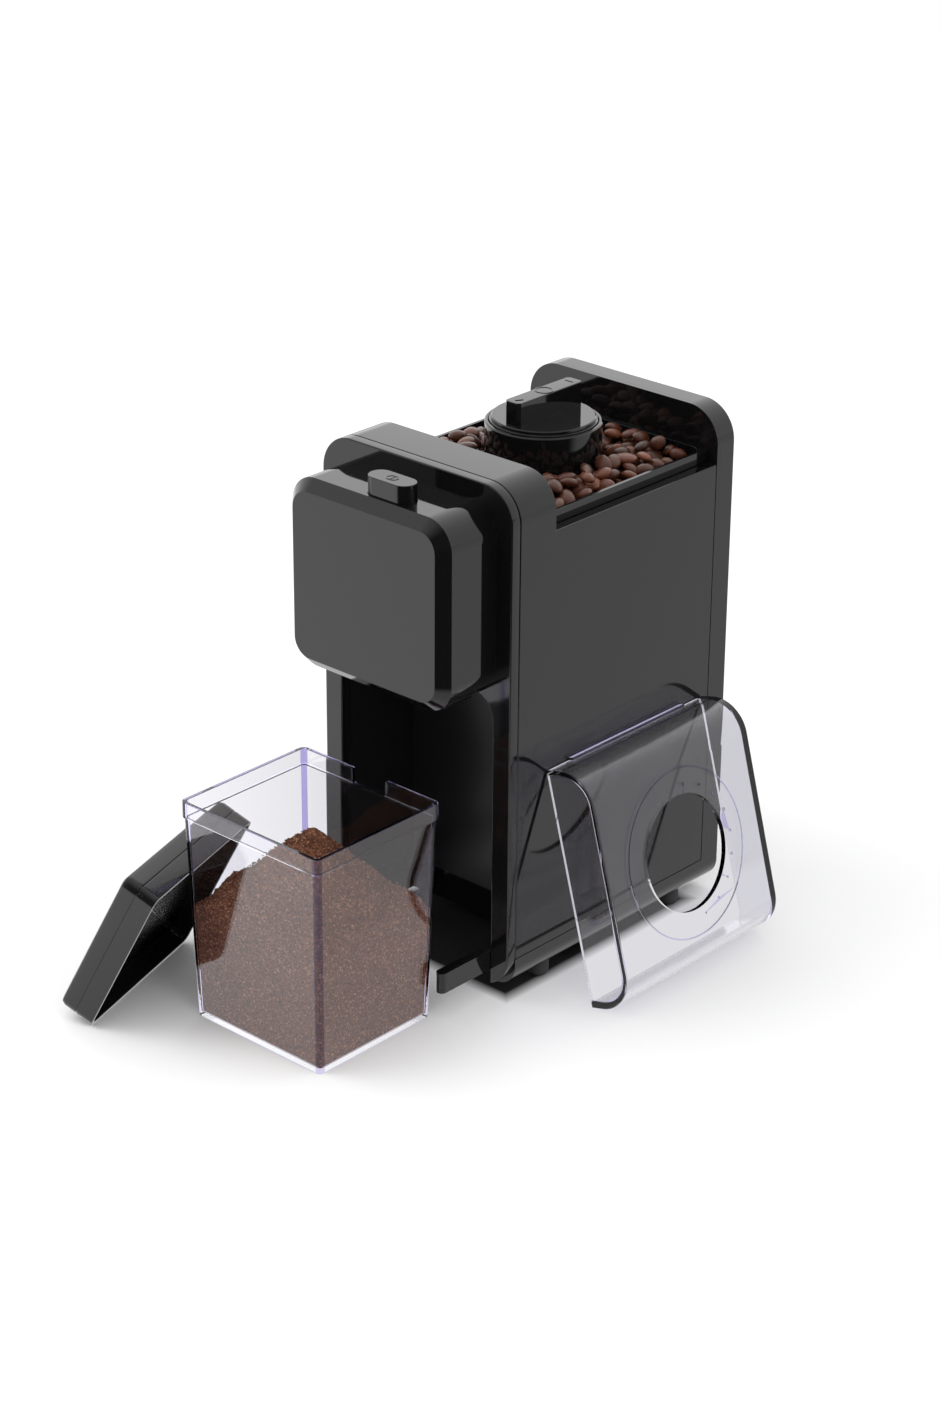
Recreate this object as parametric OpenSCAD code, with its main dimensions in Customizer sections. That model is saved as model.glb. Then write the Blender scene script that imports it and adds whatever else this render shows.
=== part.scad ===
// Burr coffee grinder: body with a bean hopper, a grind dial, a start button in an
// overhanging head, and a bay for a clear coffee container. The container, its lid and
// the clear hopper cover are taken off and stand beside the body.
// Body frame: x = 0 on the mid-plane, y = 0 at the joint between front frame and housing,
// z = 0 on the table. module place() moves it to the centre of the whole layout.

/* [Body] */
// Width across the side walls
body_w = 120; // [110:1:150]
// Depth of the housing between the front frame and the rear cover
housing_d = 142.3; // [136:0.1:175]
// Height of the arch and the rear cover above the table
body_h = 263; // [258:1:320]
// Thickness of the moulded walls
wall = 2.4; // [1.8:0.1:3]
// Corner radius of the frame, the arch and the rear cover
corner_r = 18; // [14:0.5:22]
// Corner radius of the housing's lower edges
lower_r = 12; // [8:0.5:15]
// Thickness of the front frame
frame_t = 5.8; // [4:0.2:8]
// Depth of the rear cover
rear_t = 12.7; // [9:0.1:16]
// Depth of the arch behind the frame
arch_d = 24.8; // [20:0.1:30]
// Height of the feet below the body
foot_h = 6; // [5:0.5:10]
// Diameter of the feet
foot_d = 11; // [8:0.5:14]
// Height of the bottom cover
base_h = 16; // [13:0.5:20]

/* [Head] */
// Width of the head
head_w = 101; // [90:1:108]
// Height of the head
head_h = 94.8; // [85:0.1:110]
// Overhang of the head in front of the frame
head_d = 35.2; // [30:0.1:45]
// Distance from the top of the arch down to the top of the head
head_drop = 9.5; // [7:0.5:14]
// Corner radius of the head
head_r = 15; // [10:0.5:20]
// Width of the bevel round the head's front
head_bevel = 5.5; // [3:0.5:7]
// Length of the button
button_l = 26.4; // [20:0.2:32]
// Width of the button
button_w = 13; // [10:0.2:16]
// Height of the button above the head
button_h = 9.1; // [5:0.1:12]
// Sideways place of the button on the head
button_x = 7; // [-12:0.5:12]
// Travel of the button
button_travel = 2.5; // [1.5:0.1:3]

/* [Hopper and dial] */
// Height of the hopper cover
cover_h = 25; // [20:0.5:30]
// Thickness of the hopper cover's wall
cover_t = 2.6; // [2:0.1:3.5]
// Gap between the top of the arch and the fitted cover
cover_drop = 2; // [1:0.5:4]
// Height of the hopper's rim above the ledges
rim_h = 6.5; // [4:0.5:9]
// Depth of the hopper below the ledges
hopper_d = 40; // [36:1:50]
// Radius of the ring round the dial
ring_r = 28.3; // [26:0.1:30]
// Height of the dial's grip above its disc
grip_h = 12; // [8:0.5:16]
// Length of the dial's grip
grip_l = 46.6; // [40:0.2:50]
// Width of the dial's grip
grip_w = 9.6; // [8:0.2:14]
// Lift of the upper burr over the dial's whole turn
burr_travel = 1.2; // [0.6:0.1:1.6]

/* [Container] */
// Width of the container at its rim
box_w = 90; // [84:0.5:93]
// Depth of the container at its rim
box_d = 81.6; // [74:0.2:84]
// Height of the container
box_h = 114.2; // [100:0.1:120]
// Wall of the container
box_t = 2.4; // [2:0.1:3]
// Thickness of the container's bottom
box_floor = 4.5; // [3:0.5:6]
// Taper of each wall from rim to bottom
box_taper = 3; // [2:0.1:4]
// Height of the band round the rim
band_h = 8; // [6:0.5:10]
// Depth of the container lid
lid_h = 19; // [14:0.5:24]
// Wall of the container lid
lid_t = 1.8; // [1.5:0.1:2.4]

/* [Motor and burrs] */
// Diameter of the motor
motor_d = 64; // [56:1:66]
// Height of the motor's can
motor_h = 80; // [76:1:90]
// Diameter of the shaft
shaft_d = 8; // [7:0.5:9]
// Outer diameter of the burrs
burr_d = 54; // [48:1:56]
// Inner diameter of the burrs
burr_hole = 27; // [26:0.5:28]
// Thickness of a burr
burr_t = 6; // [5:0.5:7]
// Gap between the burrs at the finest setting
burr_gap = 0.6; // [0.4:0.1:1]

/* [Fits] */
// Clearance of a loose part in its seat
seat_gap = 0.4; // [0.3:0.05:0.6]
// Radial clearance of a running shaft
run_gap = 0.05; // [0.03:0.01:0.08]

/* [Hidden] */
$fn = 48;
eps = 0.02;

// heights
base_top = foot_h + base_h;
ledge_z = body_h - cover_drop - cover_h;
head_z1 = body_h - head_drop;
head_z0 = head_z1 - head_h;
hopper_z0 = ledge_z - hopper_d;

// bay for the container
bay_gap = 4.1;
bay_x = box_w / 2 + bay_gap;
bay_r = 12;
bay_t = 1.6;
plunger_out = 2.5;
plunger_r = 2.5;
plunger_x = 36;
plunger_z = box_h - band_h - 4;
rail_gap = 1;
rail_z0 = 15;
rail_z1 = 25.6;
rail_front = frame_t + head_d - 1;
rail_in = box_w / 2 - box_taper * (1 - rail_z1 / box_h) + rail_gap;

// container in front of the body, in line with its bay
box_y = -77;

// hopper and dial, centred between the arch and the rear cover
axis_y = (arch_d + housing_d) / 2;
hopper_gap = 0.3;
hopper_x = body_w / 2 - 6;
throat_r = burr_d / 2 + 7;
ring_t = 1.9;
seat_step = 2;
ring_top = body_h - cover_drop - 1;
dial_r = ring_r - ring_t - 0.3;
dial_top = ring_top + 2.4;
hole_gap = 0.7;

// grinding chamber, from the motor up
chamber_t = 3;
chamber_r = burr_d / 2 + 7;
bay_y1 = axis_y - chamber_r - chamber_t - bay_t - 0.2;
box_travel = bay_y1 - plunger_out - 0.3 - box_d / 2 - box_y;
chamber_z0 = head_z0 - 0.7;
floor_z = chamber_z0 + chamber_t;
carrier_z = floor_z + 2;
lower_z = carrier_z + 5;
upper_z = lower_z + burr_t + burr_gap;
hub_z = upper_z + burr_t;
burr_hub_r = 7;
duct_w = 24;
duct_h = 14;
spout_y = 11;
spout_d = 18;
spout_z0 = head_z0 - 20;

// motor, hung between its cap and the chamber
mount_h = 12;
cap_h = 8;
can_z = foot_h + wall + mount_h + cap_h;
can_top = can_z + motor_h;
bearing_r = 9.5;
bearing_w = 6;

// start button
button_y = -frame_t - head_d + head_bevel + button_w / 2 + 0.3;
button_z1 = head_z1 + button_h;
switch_top = head_z1 - 15;
stem_r = 2.5;

// hopper cover and container lid where they lean
cover_l = housing_d - arch_d - 2 * seat_gap;
cover_tilt = 15.3;
cover_y = 20;
cover_x = body_w / 2 + 0.5 + body_w * sin(cover_tilt);
lid_w = box_w + 2 * (lid_t + seat_gap);
lid_l = box_d + 2 * (lid_t + seat_gap);
lid_tilt = 63;
lid_yaw = 17.8;
lid_y = -159;
lid_reach = lid_l * cos(lid_tilt);
lid_corner_y = box_y - box_d / 2 + 1.5 - lid_y - lid_reach * sin(lid_yaw);
lid_x = -box_w / 2 - 0.4 - lid_reach * cos(lid_yaw) + lid_corner_y * tan(lid_yaw);

inlet_out = 3;

// centre of the whole layout on the table, from the lid's and the cover's outer corners
lid_left = lid_x - lid_w * sin(lid_yaw) - lid_h * sin(lid_tilt) * cos(lid_yaw);
lid_front = lid_y - lid_h * sin(lid_tilt) * sin(lid_yaw);
cover_right = cover_x + (cover_h - corner_r) * cos(cover_tilt)
    - corner_r * sin(cover_tilt) + corner_r;
mid_x = (lid_left + cover_right) / 2;
mid_y = (lid_front + housing_d + rear_t + inlet_out) / 2;

shell_col = [0.06, 0.06, 0.065];
inner_col = [0.16, 0.16, 0.17];
steel_col = [0.75, 0.76, 0.78];
dark_steel = [0.35, 0.35, 0.37];
clear_col = [0.85, 0.87, 0.95, 0.4];
copper_col = [0.75, 0.42, 0.2];
rubber_col = [0.1, 0.1, 0.1];

// ---------- shared shapes ----------

module place() {
    translate([-mid_x, -mid_y, 0]) children();
}

// an outline in x and z, extruded from y0 to y1
module slab(y0, y1) {
    translate([0, y1, 0]) rotate([90, 0, 0]) linear_extrude(y1 - y0) children();
}

// rectangle standing on z0, with top corners rt and bottom corners rb
module panel(w, z0, z1, rt, rb) {
    translate([-w / 2, z0 + rb]) square([w, z1 - z0 - rt - rb]);
    translate([-w / 2 + rt, z1 - rt - eps]) square([w - 2 * rt, rt + eps]);
    translate([-w / 2 + rb, z0]) square([w - 2 * rb, rb + eps]);
    for (s = [-1, 1]) {
        if (rt > 0) translate([s * (w / 2 - rt), z1 - rt]) circle(rt);
        if (rb > 0) translate([s * (w / 2 - rb), z0 + rb]) circle(rb);
    }
}

// rounded rectangle centred on the origin
module pad(w, d, r) {
    square([w - 2 * r, d], center = true);
    square([w, d - 2 * r], center = true);
    for (x = [-1, 1], y = [-1, 1]) translate([x * (w / 2 - r), y * (d / 2 - r)]) circle(r);
}

// slot with round ends, length l overall along x
module pill(l, w) {
    square([l - w, w], center = true);
    for (s = [-1, 1]) translate([s * (l - w) / 2, 0]) circle(w / 2);
}

module tube(r1, r0, h) {
    difference() {
        cylinder(r = r1, h = h);
        translate([0, 0, -1]) cylinder(r = r0, h = h + 2);
    }
}

module on_axis(z = 0) {
    translate([0, axis_y, z]) children();
}

// round-headed screw with its head's top at the origin, pointing down
module screw(r, l, head_r, head_h) {
    difference() {
        union() {
            translate([0, 0, -head_h]) cylinder(r = head_r, h = head_h);
            translate([0, 0, -head_h - l]) cylinder(r = r, h = l + eps);
        }
        for (a = [0, 90]) rotate(a) translate([0, 0, -0.5])
            cube([head_r * 1.2, 0.7, 1.2], center = true);
    }
}

// closed coil of round wire from z = 0 up to h
module coil(r, wire, turns, h) {
    sides = 6;
    steps = 12 * turns;
    rise = h - 2 * wire;
    pts = [for (i = [0 : steps], j = [0 : sides - 1])
        let (a = 360 * turns * i / steps, b = 360 * j / sides, rr = r + wire * cos(b))
        [rr * cos(a), rr * sin(a), wire + rise * i / steps + wire * sin(b)]];
    sides_f = [for (i = [0 : steps - 1], j = [0 : sides - 1])
        let (k = (j + 1) % sides)
        [i * sides + j, (i + 1) * sides + j, (i + 1) * sides + k, i * sides + k]];
    ends = [[for (j = [0 : sides - 1]) j], [for (j = [0 : sides - 1]) steps * sides + sides - 1 - j]];
    polyhedron(pts, concat(sides_f, ends), convexity = 8);
}

// outline of the bay seen from the front, open at the bottom
module bay_outline(grow, z0) {
    panel(2 * (bay_x + grow), z0, head_z0 + grow, bay_r + grow, 0);
}

// ---------- casing ----------

module front_frame() {
    color(shell_col) slab(-frame_t, 0) difference() {
        panel(body_w, foot_h, body_h, corner_r, corner_r);
        bay_outline(0, foot_h - 1);
        translate([button_x - 8, head_z1 - 20]) square([16, 10]);
    }
}

module side_outline(inset, z1) {
    intersection() {
        panel(body_w - 2 * inset, foot_h + inset, body_h - inset, corner_r - inset, lower_r - inset);
        translate([-body_w, base_top]) square([2 * body_w, z1 - base_top]);
    }
}

module housing_shell() {
    lip = 2;
    color(shell_col) difference() {
        union() {
            slab(0, arch_d) side_outline(0, body_h);
            slab(arch_d - eps, housing_d) side_outline(0, ledge_z);
        }
        slab(-1, arch_d - wall) side_outline(wall, body_h - wall);
        slab(arch_d - wall - 1, housing_d + 1) side_outline(wall, ledge_z - wall);
        translate([-hopper_x, arch_d, ledge_z - wall - 1])
            cube([2 * hopper_x, housing_d - arch_d + 1, wall + 2]);
        translate([-bay_x - bay_t, -1, base_top - 1])
            cube([2 * (bay_x + bay_t), lip, lip]);
    }
}

module rear_bulkhead() {
    color(shell_col) slab(housing_d, housing_d + wall) difference() {
        panel(body_w, ledge_z - 30, body_h, corner_r, 0);
        translate([-40, ledge_z - 31]) square([80, 16]);
        for (p = rear_points()) translate(p) circle(1.6);
    }
}

module rear_cover() {
    y1 = housing_d + rear_t;
    color(shell_col) difference() {
        slab(housing_d, y1) panel(body_w, foot_h, body_h, corner_r, lower_r);
        slab(housing_d - 1, y1 - wall)
            panel(body_w - 2 * wall, foot_h + wall, body_h - wall, corner_r - wall, lower_r - wall);
        slab(housing_d - 1, housing_d + wall)
            panel(body_w + 2, ledge_z - 30, body_h + 1, 0, 0);
        for (i = [0 : 6]) translate([0, y1 - wall / 2, 60 + 9 * i])
            rotate([90, 0, 0]) linear_extrude(wall * 2, center = true) pill(64, 3);
        translate([36, y1, foot_h + 26]) rotate([90, 0, 0]) cylinder(r = 5, h = wall * 3, center = true);
        for (p = rear_points()) translate([p[0], y1, p[1]]) rotate([90, 0, 0])
            cylinder(r = 1.8, h = wall * 3, center = true);
    }
}

function rear_points() = [for (x = [-1, 1], z = [foot_h + 18, ledge_z - 8]) [x * (body_w / 2 - 15), z]];

module rear_screws() {
    y1 = housing_d + rear_t;
    color(steel_col) for (p = rear_points()) translate([p[0], y1 + 1.6, p[1]])
        rotate([-90, 0, 0]) screw(1.5, rear_t, 3.2, 1.6);
}

module base_cover() {
    color(shell_col) difference() {
        slab(0, housing_d) intersection() {
            panel(body_w, foot_h, body_h, corner_r, lower_r);
            translate([-body_w, 0]) square([2 * body_w, base_top]);
        }
        slab(bay_y1 + bay_t + wall, housing_d - wall) intersection() {
            panel(body_w - 2 * wall, foot_h + wall, body_h, corner_r - wall, lower_r - wall);
            translate([-body_w, 0]) square([2 * body_w, base_top + 1]);
        }
        translate([-bay_x, -1, 0]) cube([2 * bay_x, bay_y1 + 1, base_top + 1]);
        for (p = foot_points()) translate([p[0], p[1], foot_h - 1]) cylinder(r = foot_d / 2 + 0.1, h = 4);
        for (p = screw_points()) translate([p[0], p[1], 0]) {
            cylinder(r = 1.7, h = base_top);
            cylinder(r = 3.4, h = foot_h + 1.8);
        }
    }
}

function foot_points() = [for (x = [-1, 1], y = [28, housing_d - 14]) [x * (body_w / 2 - 10), y]];
function screw_points() = [for (x = [-1, 1], y = [bay_y1 + 16, housing_d - 34]) [x * (body_w / 2 - 20), y]];

module rubber_feet() {
    color(rubber_col) for (p = foot_points()) translate([p[0], p[1], 0]) {
        translate([0, 0, 1.5]) cylinder(r = foot_d / 2, h = foot_h + 1.4);
        cylinder(r1 = foot_d / 2 - 1.5, r2 = foot_d / 2, h = 1.5 + eps);
    }
}

module base_screws() {
    color(steel_col) for (p = screw_points()) translate([p[0], p[1], foot_h + 0.2])
        rotate([180, 0, 0]) screw(1.5, 10, 3, 1.6);
}

module container_bay() {
    y1 = bay_y1 + bay_t;
    color(inner_col) difference() {
        slab(0, y1) bay_outline(bay_t, base_top);
        slab(-1, bay_y1) bay_outline(0, base_top - 1);
        translate([-duct_w / 2 - 0.2, spout_y - spout_d / 2 - 0.2, head_z0 - 1])
            cube([duct_w + 0.4, spout_d + 0.4, bay_t + 2]);
        translate([plunger_x, bay_y1, plunger_z]) rotate([90, 0, 0])
            cylinder(r = plunger_r + run_gap, h = 8, center = true);
    }
}

module container_rails() {
    nose = 3;
    color(shell_col) translate([0, 0, rail_z0]) difference() {
        linear_extrude(rail_z1 - rail_z0) for (s = [-1, 1]) {
            w = bay_x - rail_in;
            translate([s * (rail_in + w / 2) - w / 2, -rail_front + nose])
                square([w, rail_front - nose + bay_y1]);
            translate([s * (rail_in + w / 2), -rail_front + nose]) circle(w / 2);
        }
        for (s = [-1, 1]) translate([s * rail_in, bay_y1 - 8, -1]) cylinder(r = 0.8, h = 20);
    }
}

module head_shape(inset, y1) {
    bevel = max(head_bevel - inset, 1);
    y0 = -frame_t - head_d + inset;
    r = max(head_r - inset, 2);
    w = head_w - 2 * inset;
    hull() {
        slab(y0, y0 + 0.05)
            panel(w - 2 * bevel, head_z0 + inset + bevel, head_z1 - inset - bevel,
                max(r - bevel, 1), max(r - bevel, 1), $fn = 32);
        slab(y0 + bevel, y0 + bevel + 0.05)
            panel(w, head_z0 + inset, head_z1 - inset, r, r, $fn = 32);
    }
    slab(y0 + bevel, y1) panel(w, head_z0 + inset, head_z1 - inset, r, r);
}

module head_cover() {
    color(shell_col) difference() {
        head_shape(0, -frame_t);
        head_shape(wall, -frame_t + 1);
        translate([button_x, button_y, head_z1 - wall - 1]) linear_extrude(wall + 2)
            pill(button_l + 0.6, button_w + 0.6);
    }
}

module switch_bracket() {
    w = 34;
    y0 = -frame_t - head_d + wall + 3;
    color(inner_col) {
        translate([button_x - w / 2, y0, switch_top - 16]) cube([w, -frame_t - y0, 2]);
        translate([button_x - w / 2, -frame_t - 2, switch_top - 30]) cube([w, 2, 24]);
    }
}

module start_switch() {
    color([0.2, 0.2, 0.2]) difference() {
        translate([button_x - 10, button_y - 3.2, switch_top - 14]) cube([20, 6.4, 13]);
        for (s = [-1, 1]) translate([button_x + s * 5, button_y, switch_top - 10])
            rotate([90, 0, 0]) cylinder(r = 1.3, h = 20, center = true);
    }
    color(copper_col) for (s = [-1, 0, 1])
        translate([button_x + s * 7 - 0.4, button_y + 3.2, switch_top - 12]) cube([0.8, 5, 2.4]);
}

module start_button() {
    skirt_z = head_z1 - wall - 0.1;
    stem_z = switch_top - 1 + button_travel + 0.2;
    color(shell_col) translate([button_x, button_y, 0]) {
        translate([0, 0, skirt_z]) linear_extrude(button_z1 - skirt_z - 0.8) pill(button_l, button_w);
        translate([0, 0, button_z1 - 0.8 - eps]) linear_extrude(0.8)
            pill(button_l - 1.2, button_w - 1.2);
        translate([0, 0, skirt_z - 1.2]) linear_extrude(1.2 + eps) intersection() {
            pill(button_l + 3, button_w + 2);
            translate([-button_l, -4]) square([2 * button_l, button_w]);
        }
        translate([0, 0, stem_z]) cylinder(r = stem_r, h = skirt_z - stem_z);
        for (a = [0, 90]) translate([0, 0, button_z1 - eps]) rotate(a)
            translate([-1.8, -0.3, 0]) cube([3.6, 0.6, 0.25]);
    }
}

module button_spring() {
    color(steel_col) translate([button_x, button_y, switch_top - 1])
        coil(stem_r + 1.1, 0.4, 5, head_z1 - wall - 1.3 - switch_top + 1);
}

// ---------- hopper ----------

module hopper() {
    y0 = arch_d + hopper_gap;
    y1 = housing_d - hopper_gap;
    t = 1.8;
    x1 = hopper_x - hopper_gap;
    slope = 14;
    color(inner_col) difference() {
        translate([-x1, y0, hopper_z0]) cube([2 * x1, y1 - y0, ledge_z + rim_h - hopper_z0]);
        translate([0, (y0 + y1) / 2, hopper_z0 + slope + t])
            linear_extrude(hopper_d + rim_h) pad(2 * (x1 - t), y1 - y0 - 2 * t, 6);
        on_axis(hopper_z0 + t) cylinder(r1 = throat_r, r2 = x1 + 22, h = slope + eps);
        on_axis(hopper_z0 - 1) cylinder(r = throat_r + seat_step + 0.3, h = slope);
        for (p = chamber_points()) translate([p[0], p[1], hopper_z0 - 1]) cylinder(r = 1.3, h = 4.3);
    }
}

function chamber_points() = [for (a = [45 : 90 : 315])
    [(chamber_r + 7.5) * cos(a), axis_y + (chamber_r + 7.5) * sin(a)]];

module grounds_chute() {
    z0 = floor_z;
    top = z0 + duct_h + 2 * 1.6;
    t = 1.6;
    y_in = axis_y - chamber_r + 1;
    y_out = spout_y - spout_d / 2;
    w = duct_w;
    color(inner_col) difference() {
        union() {
            translate([-w / 2, y_out, z0 + 0.1]) cube([w, y_in - y_out, top - z0 - 0.1]);
            translate([-w / 2, y_out, spout_z0]) cube([w, spout_d, z0 - spout_z0 + 1]);
        }
        translate([-w / 2 + t, y_out + t, z0 + t]) cube([w - 2 * t, y_in - y_out, duct_h]);
        translate([-w / 2 + t, y_out + t, spout_z0 - 1]) cube([w - 2 * t, spout_d - 2 * t, z0 - spout_z0 + t + 2]);
        on_axis(z0 - 1) cylinder(r = chamber_r + chamber_t, h = duct_h + 10);
    }
}

// ---------- grinding chamber and motor ----------

module grinding_chamber() {
    h = hopper_z0 - chamber_z0;
    t = chamber_t;
    color(dark_steel) difference() {
        union() {
            on_axis(chamber_z0) cylinder(r = chamber_r + t, h = h);
            on_axis(hopper_z0 - 4) linear_extrude(4) intersection() {
                circle(chamber_r + 12);
                pad(2 * (hopper_x - 6), 2 * (hopper_x - 6), 4);
            }
        }
        on_axis(floor_z) cylinder(r = chamber_r, h = h);
        on_axis(chamber_z0 - 1) cylinder(r = 11, h = t + 2);
        translate([-duct_w / 2 + 1.6, axis_y - chamber_r - t - 1, floor_z + 1.6])
            cube([duct_w - 3.2, 12, duct_h]);
        for (p = chamber_points()) translate([p[0], p[1], hopper_z0 - 5]) cylinder(r = 1.7, h = 6);
    }
}

module chamber_screws() {
    color(steel_col) for (p = chamber_points()) translate([p[0], p[1], hopper_z0 - 5.6])
        rotate([180, 0, 0]) screw(1.25, 7, 2.8, 1.6);
}

module chamber_seal() {
    color([0.5, 0.2, 0.15]) on_axis(chamber_z0) tube(11, shaft_d / 2 + 0.4, chamber_t);
}

module motor_stand() {
    z0 = can_top + cap_h;
    color(inner_col) difference() {
        on_axis(z0) tube(motor_d / 2, motor_d / 2 - 3, chamber_z0 - z0);
        for (a = [0, 60, 120]) on_axis((z0 + chamber_z0) / 2) rotate(a)
            cube([motor_d + 4, 16, (chamber_z0 - z0) / 2], center = true);
    }
}

module motor_can() {
    color(dark_steel) difference() {
        on_axis(can_z) tube(motor_d / 2, motor_d / 2 - 2, motor_h);
        for (a = [0, 60, 120]) on_axis(can_top - 9) rotate(a) cube([motor_d + 4, 10, 8], center = true);
    }
}

module motor_magnets() {
    color([0.25, 0.23, 0.22]) difference() {
        on_axis(can_z + 18) tube(motor_d / 2 - 2 - eps, motor_d / 2 - 7, 46);
        on_axis(can_z + 17) translate([0, 0, 24]) cube([18, motor_d + 2, 60], center = true);
    }
}

module motor_cap(z) {
    on_axis(z) difference() {
        cylinder(r = motor_d / 2, h = cap_h);
        translate([0, 0, -1]) cylinder(r = bearing_r - 2, h = cap_h + 2);
        children();
    }
}

module motor_lower_cap() {
    color(steel_col) motor_cap(can_z - cap_h)
        translate([0, 0, cap_h - bearing_w]) cylinder(r = bearing_r, h = bearing_w + 1);
}

module motor_upper_cap() {
    color(steel_col) motor_cap(can_top) translate([0, 0, -1]) cylinder(r = bearing_r, h = bearing_w + 1);
}

module bearing() {
    tube(bearing_r, bearing_r - 1.8, bearing_w);
    tube(shaft_d / 2 + run_gap + 1.6, shaft_d / 2 + run_gap, bearing_w);
    translate([0, 0, 1]) tube(bearing_r - 1.8 + eps, shaft_d / 2 + run_gap + 1.6 - eps, bearing_w - 2);
}

module lower_bearing() {
    color(steel_col) on_axis(can_z - bearing_w) bearing();
}

module upper_bearing() {
    color(steel_col) on_axis(can_top) bearing();
}

module brush_holders() {
    color(copper_col) on_axis(can_z + 4) for (s = [0, 180]) rotate(s)
        translate([10.4, -4, 0]) cube([motor_d / 2 - 2.4 - 10.4, 8, 9]);
}

module motor_mounts() {
    color(rubber_col) for (a = [45 : 90 : 315]) on_axis(foot_h + wall)
        translate([22 * cos(a), 22 * sin(a), 0]) cylinder(r = 6, h = mount_h);
}

module motor_shaft() {
    z0 = can_z - cap_h + 1;
    color(steel_col) on_axis(z0) cylinder(r = shaft_d / 2, h = lower_z + 6 - z0);
}

module around_shaft(r, h) {
    difference() {
        cylinder(r = r, h = h);
        translate([0, 0, -1]) cylinder(r = shaft_d / 2, h = h + 2);
    }
}

module armature() {
    r = motor_d / 2 - 8;
    color(dark_steel) on_axis(can_z + 22) difference() {
        around_shaft(r, 38);
        for (a = [0 : 45 : 315]) rotate(a) translate([r - 6, -1.5, -1]) cube([8, 3, 40]);
    }
}

module armature_winding() {
    color(copper_col) on_axis(0) for (z = [can_z + 16, can_z + 60]) translate([0, 0, z])
        around_shaft(motor_d / 2 - 11, 6);
}

module commutator() {
    color(copper_col) on_axis(can_z + 3) difference() {
        around_shaft(10, 11);
        for (a = [0 : 30 : 150]) rotate(a) translate([0, 0, 6]) cube([24, 0.5, 14], center = true);
    }
    color(copper_col) on_axis(can_z + 3) around_shaft(8, 11);
}

module cooling_fan() {
    color(inner_col) on_axis(can_z + 67) {
        around_shaft(9, 8);
        difference() {
            around_shaft(motor_d / 2 - 5, 1.6);
            for (a = [0 : 60 : 300]) rotate(a) translate([15, 0, -1]) cylinder(r = 2.5, h = 4);
        }
        for (a = [0 : 40 : 320]) rotate(a) translate([8.5, -0.7, 1.5]) cube([motor_d / 2 - 14.5, 1.4, 6.5]);
    }
}

module lower_burr_carrier() {
    color(steel_col) on_axis(0) {
        translate([0, 0, carrier_z + 1]) around_shaft(burr_d / 2, lower_z - carrier_z - 1);
        translate([0, 0, carrier_z - 1]) around_shaft(8, 3);
        for (a = [0 : 90 : 270]) rotate(a) translate([burr_d / 2 - 9, -1.2, carrier_z - 0.8])
            cube([14, 2.4, lower_z - carrier_z + 0.8]);
    }
}

// toothed ring with its teeth on top
module burr_ring() {
    teeth = 12;
    difference() {
        tube(burr_d / 2, burr_hole / 2, burr_t);
        for (a = [0 : 360 / teeth : 359]) rotate(a) translate([burr_hole / 2 - 2, 2.5, burr_t - 1.4])
            rotate([0, 0, 14]) cube([burr_d, 2.2, 3]);
        for (a = [0 : 120 : 240]) rotate(a + 8) translate([burr_d / 2 - 5.5, 0, -1]) cylinder(r = 1.7, h = burr_t + 2);
    }
}

module lower_burr() {
    color(steel_col) on_axis(lower_z) burr_ring();
}

module burr_nut() {
    color(steel_col) on_axis(lower_z) difference() {
        cylinder(r = 7.5, h = 5, $fn = 6);
        translate([0, 0, -1]) cylinder(r = shaft_d / 2, h = 8);
    }
}

module upper_burr() {
    color(steel_col) on_axis(upper_z + burr_t) mirror([0, 0, 1]) burr_ring();
}

module upper_burr_carrier() {
    h = 5;
    color(inner_col) on_axis(hub_z) {
        difference() {
            tube(burr_d / 2 + 4, burr_hole / 2, h);
            for (a = [0 : 120 : 240]) rotate(a + 8) translate([burr_d / 2 - 5.5, 0, -1])
                cylinder(r = 1.3, h = h + 2);
        }
        for (a = [30 : 120 : 270]) rotate(a) translate([burr_hub_r - 1.4, -2, 0])
            cube([burr_hole / 2 - burr_hub_r + 3.4, 4, h]);
        tube(burr_hub_r, 3 + run_gap, 12);
    }
}

module burr_screws() {
    color(dark_steel) on_axis(hub_z) for (a = [0 : 120 : 240]) rotate(a + 8)
        translate([burr_d / 2 - 5.5, 0, -burr_t + 3.2]) rotate([180, 0, 0])
        screw(1.25, 5, 1.6, 1.4);
}

// ---------- grind dial ----------

module dial_ring() {
    leg = hopper_z0 + 16;
    color(shell_col) on_axis(0) {
        translate([0, 0, leg]) tube(ring_r, ring_r - ring_t, ring_top - leg);
        for (a = [30 : 120 : 270]) rotate(a) translate([ring_r - ring_t, -4, hopper_z0 + 2])
            cube([ring_t - 0.1, 8, leg - hopper_z0 - 1]);
        translate([0, 0, hopper_z0 - 2]) tube(throat_r - 0.5, ring_r - ring_t, 3);
        translate([0, 0, hopper_z0]) tube(throat_r + seat_step, ring_r - ring_t, 2.4);
        translate([0, 0, leg + 2]) difference() {
            tube(ring_r - ring_t + 0.2, 6 + run_gap, 3);
            for (a = [0 : 60 : 300]) rotate(a) translate([16, 0, -1]) cylinder(r = 6, h = 5);
        }
    }
}

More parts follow.
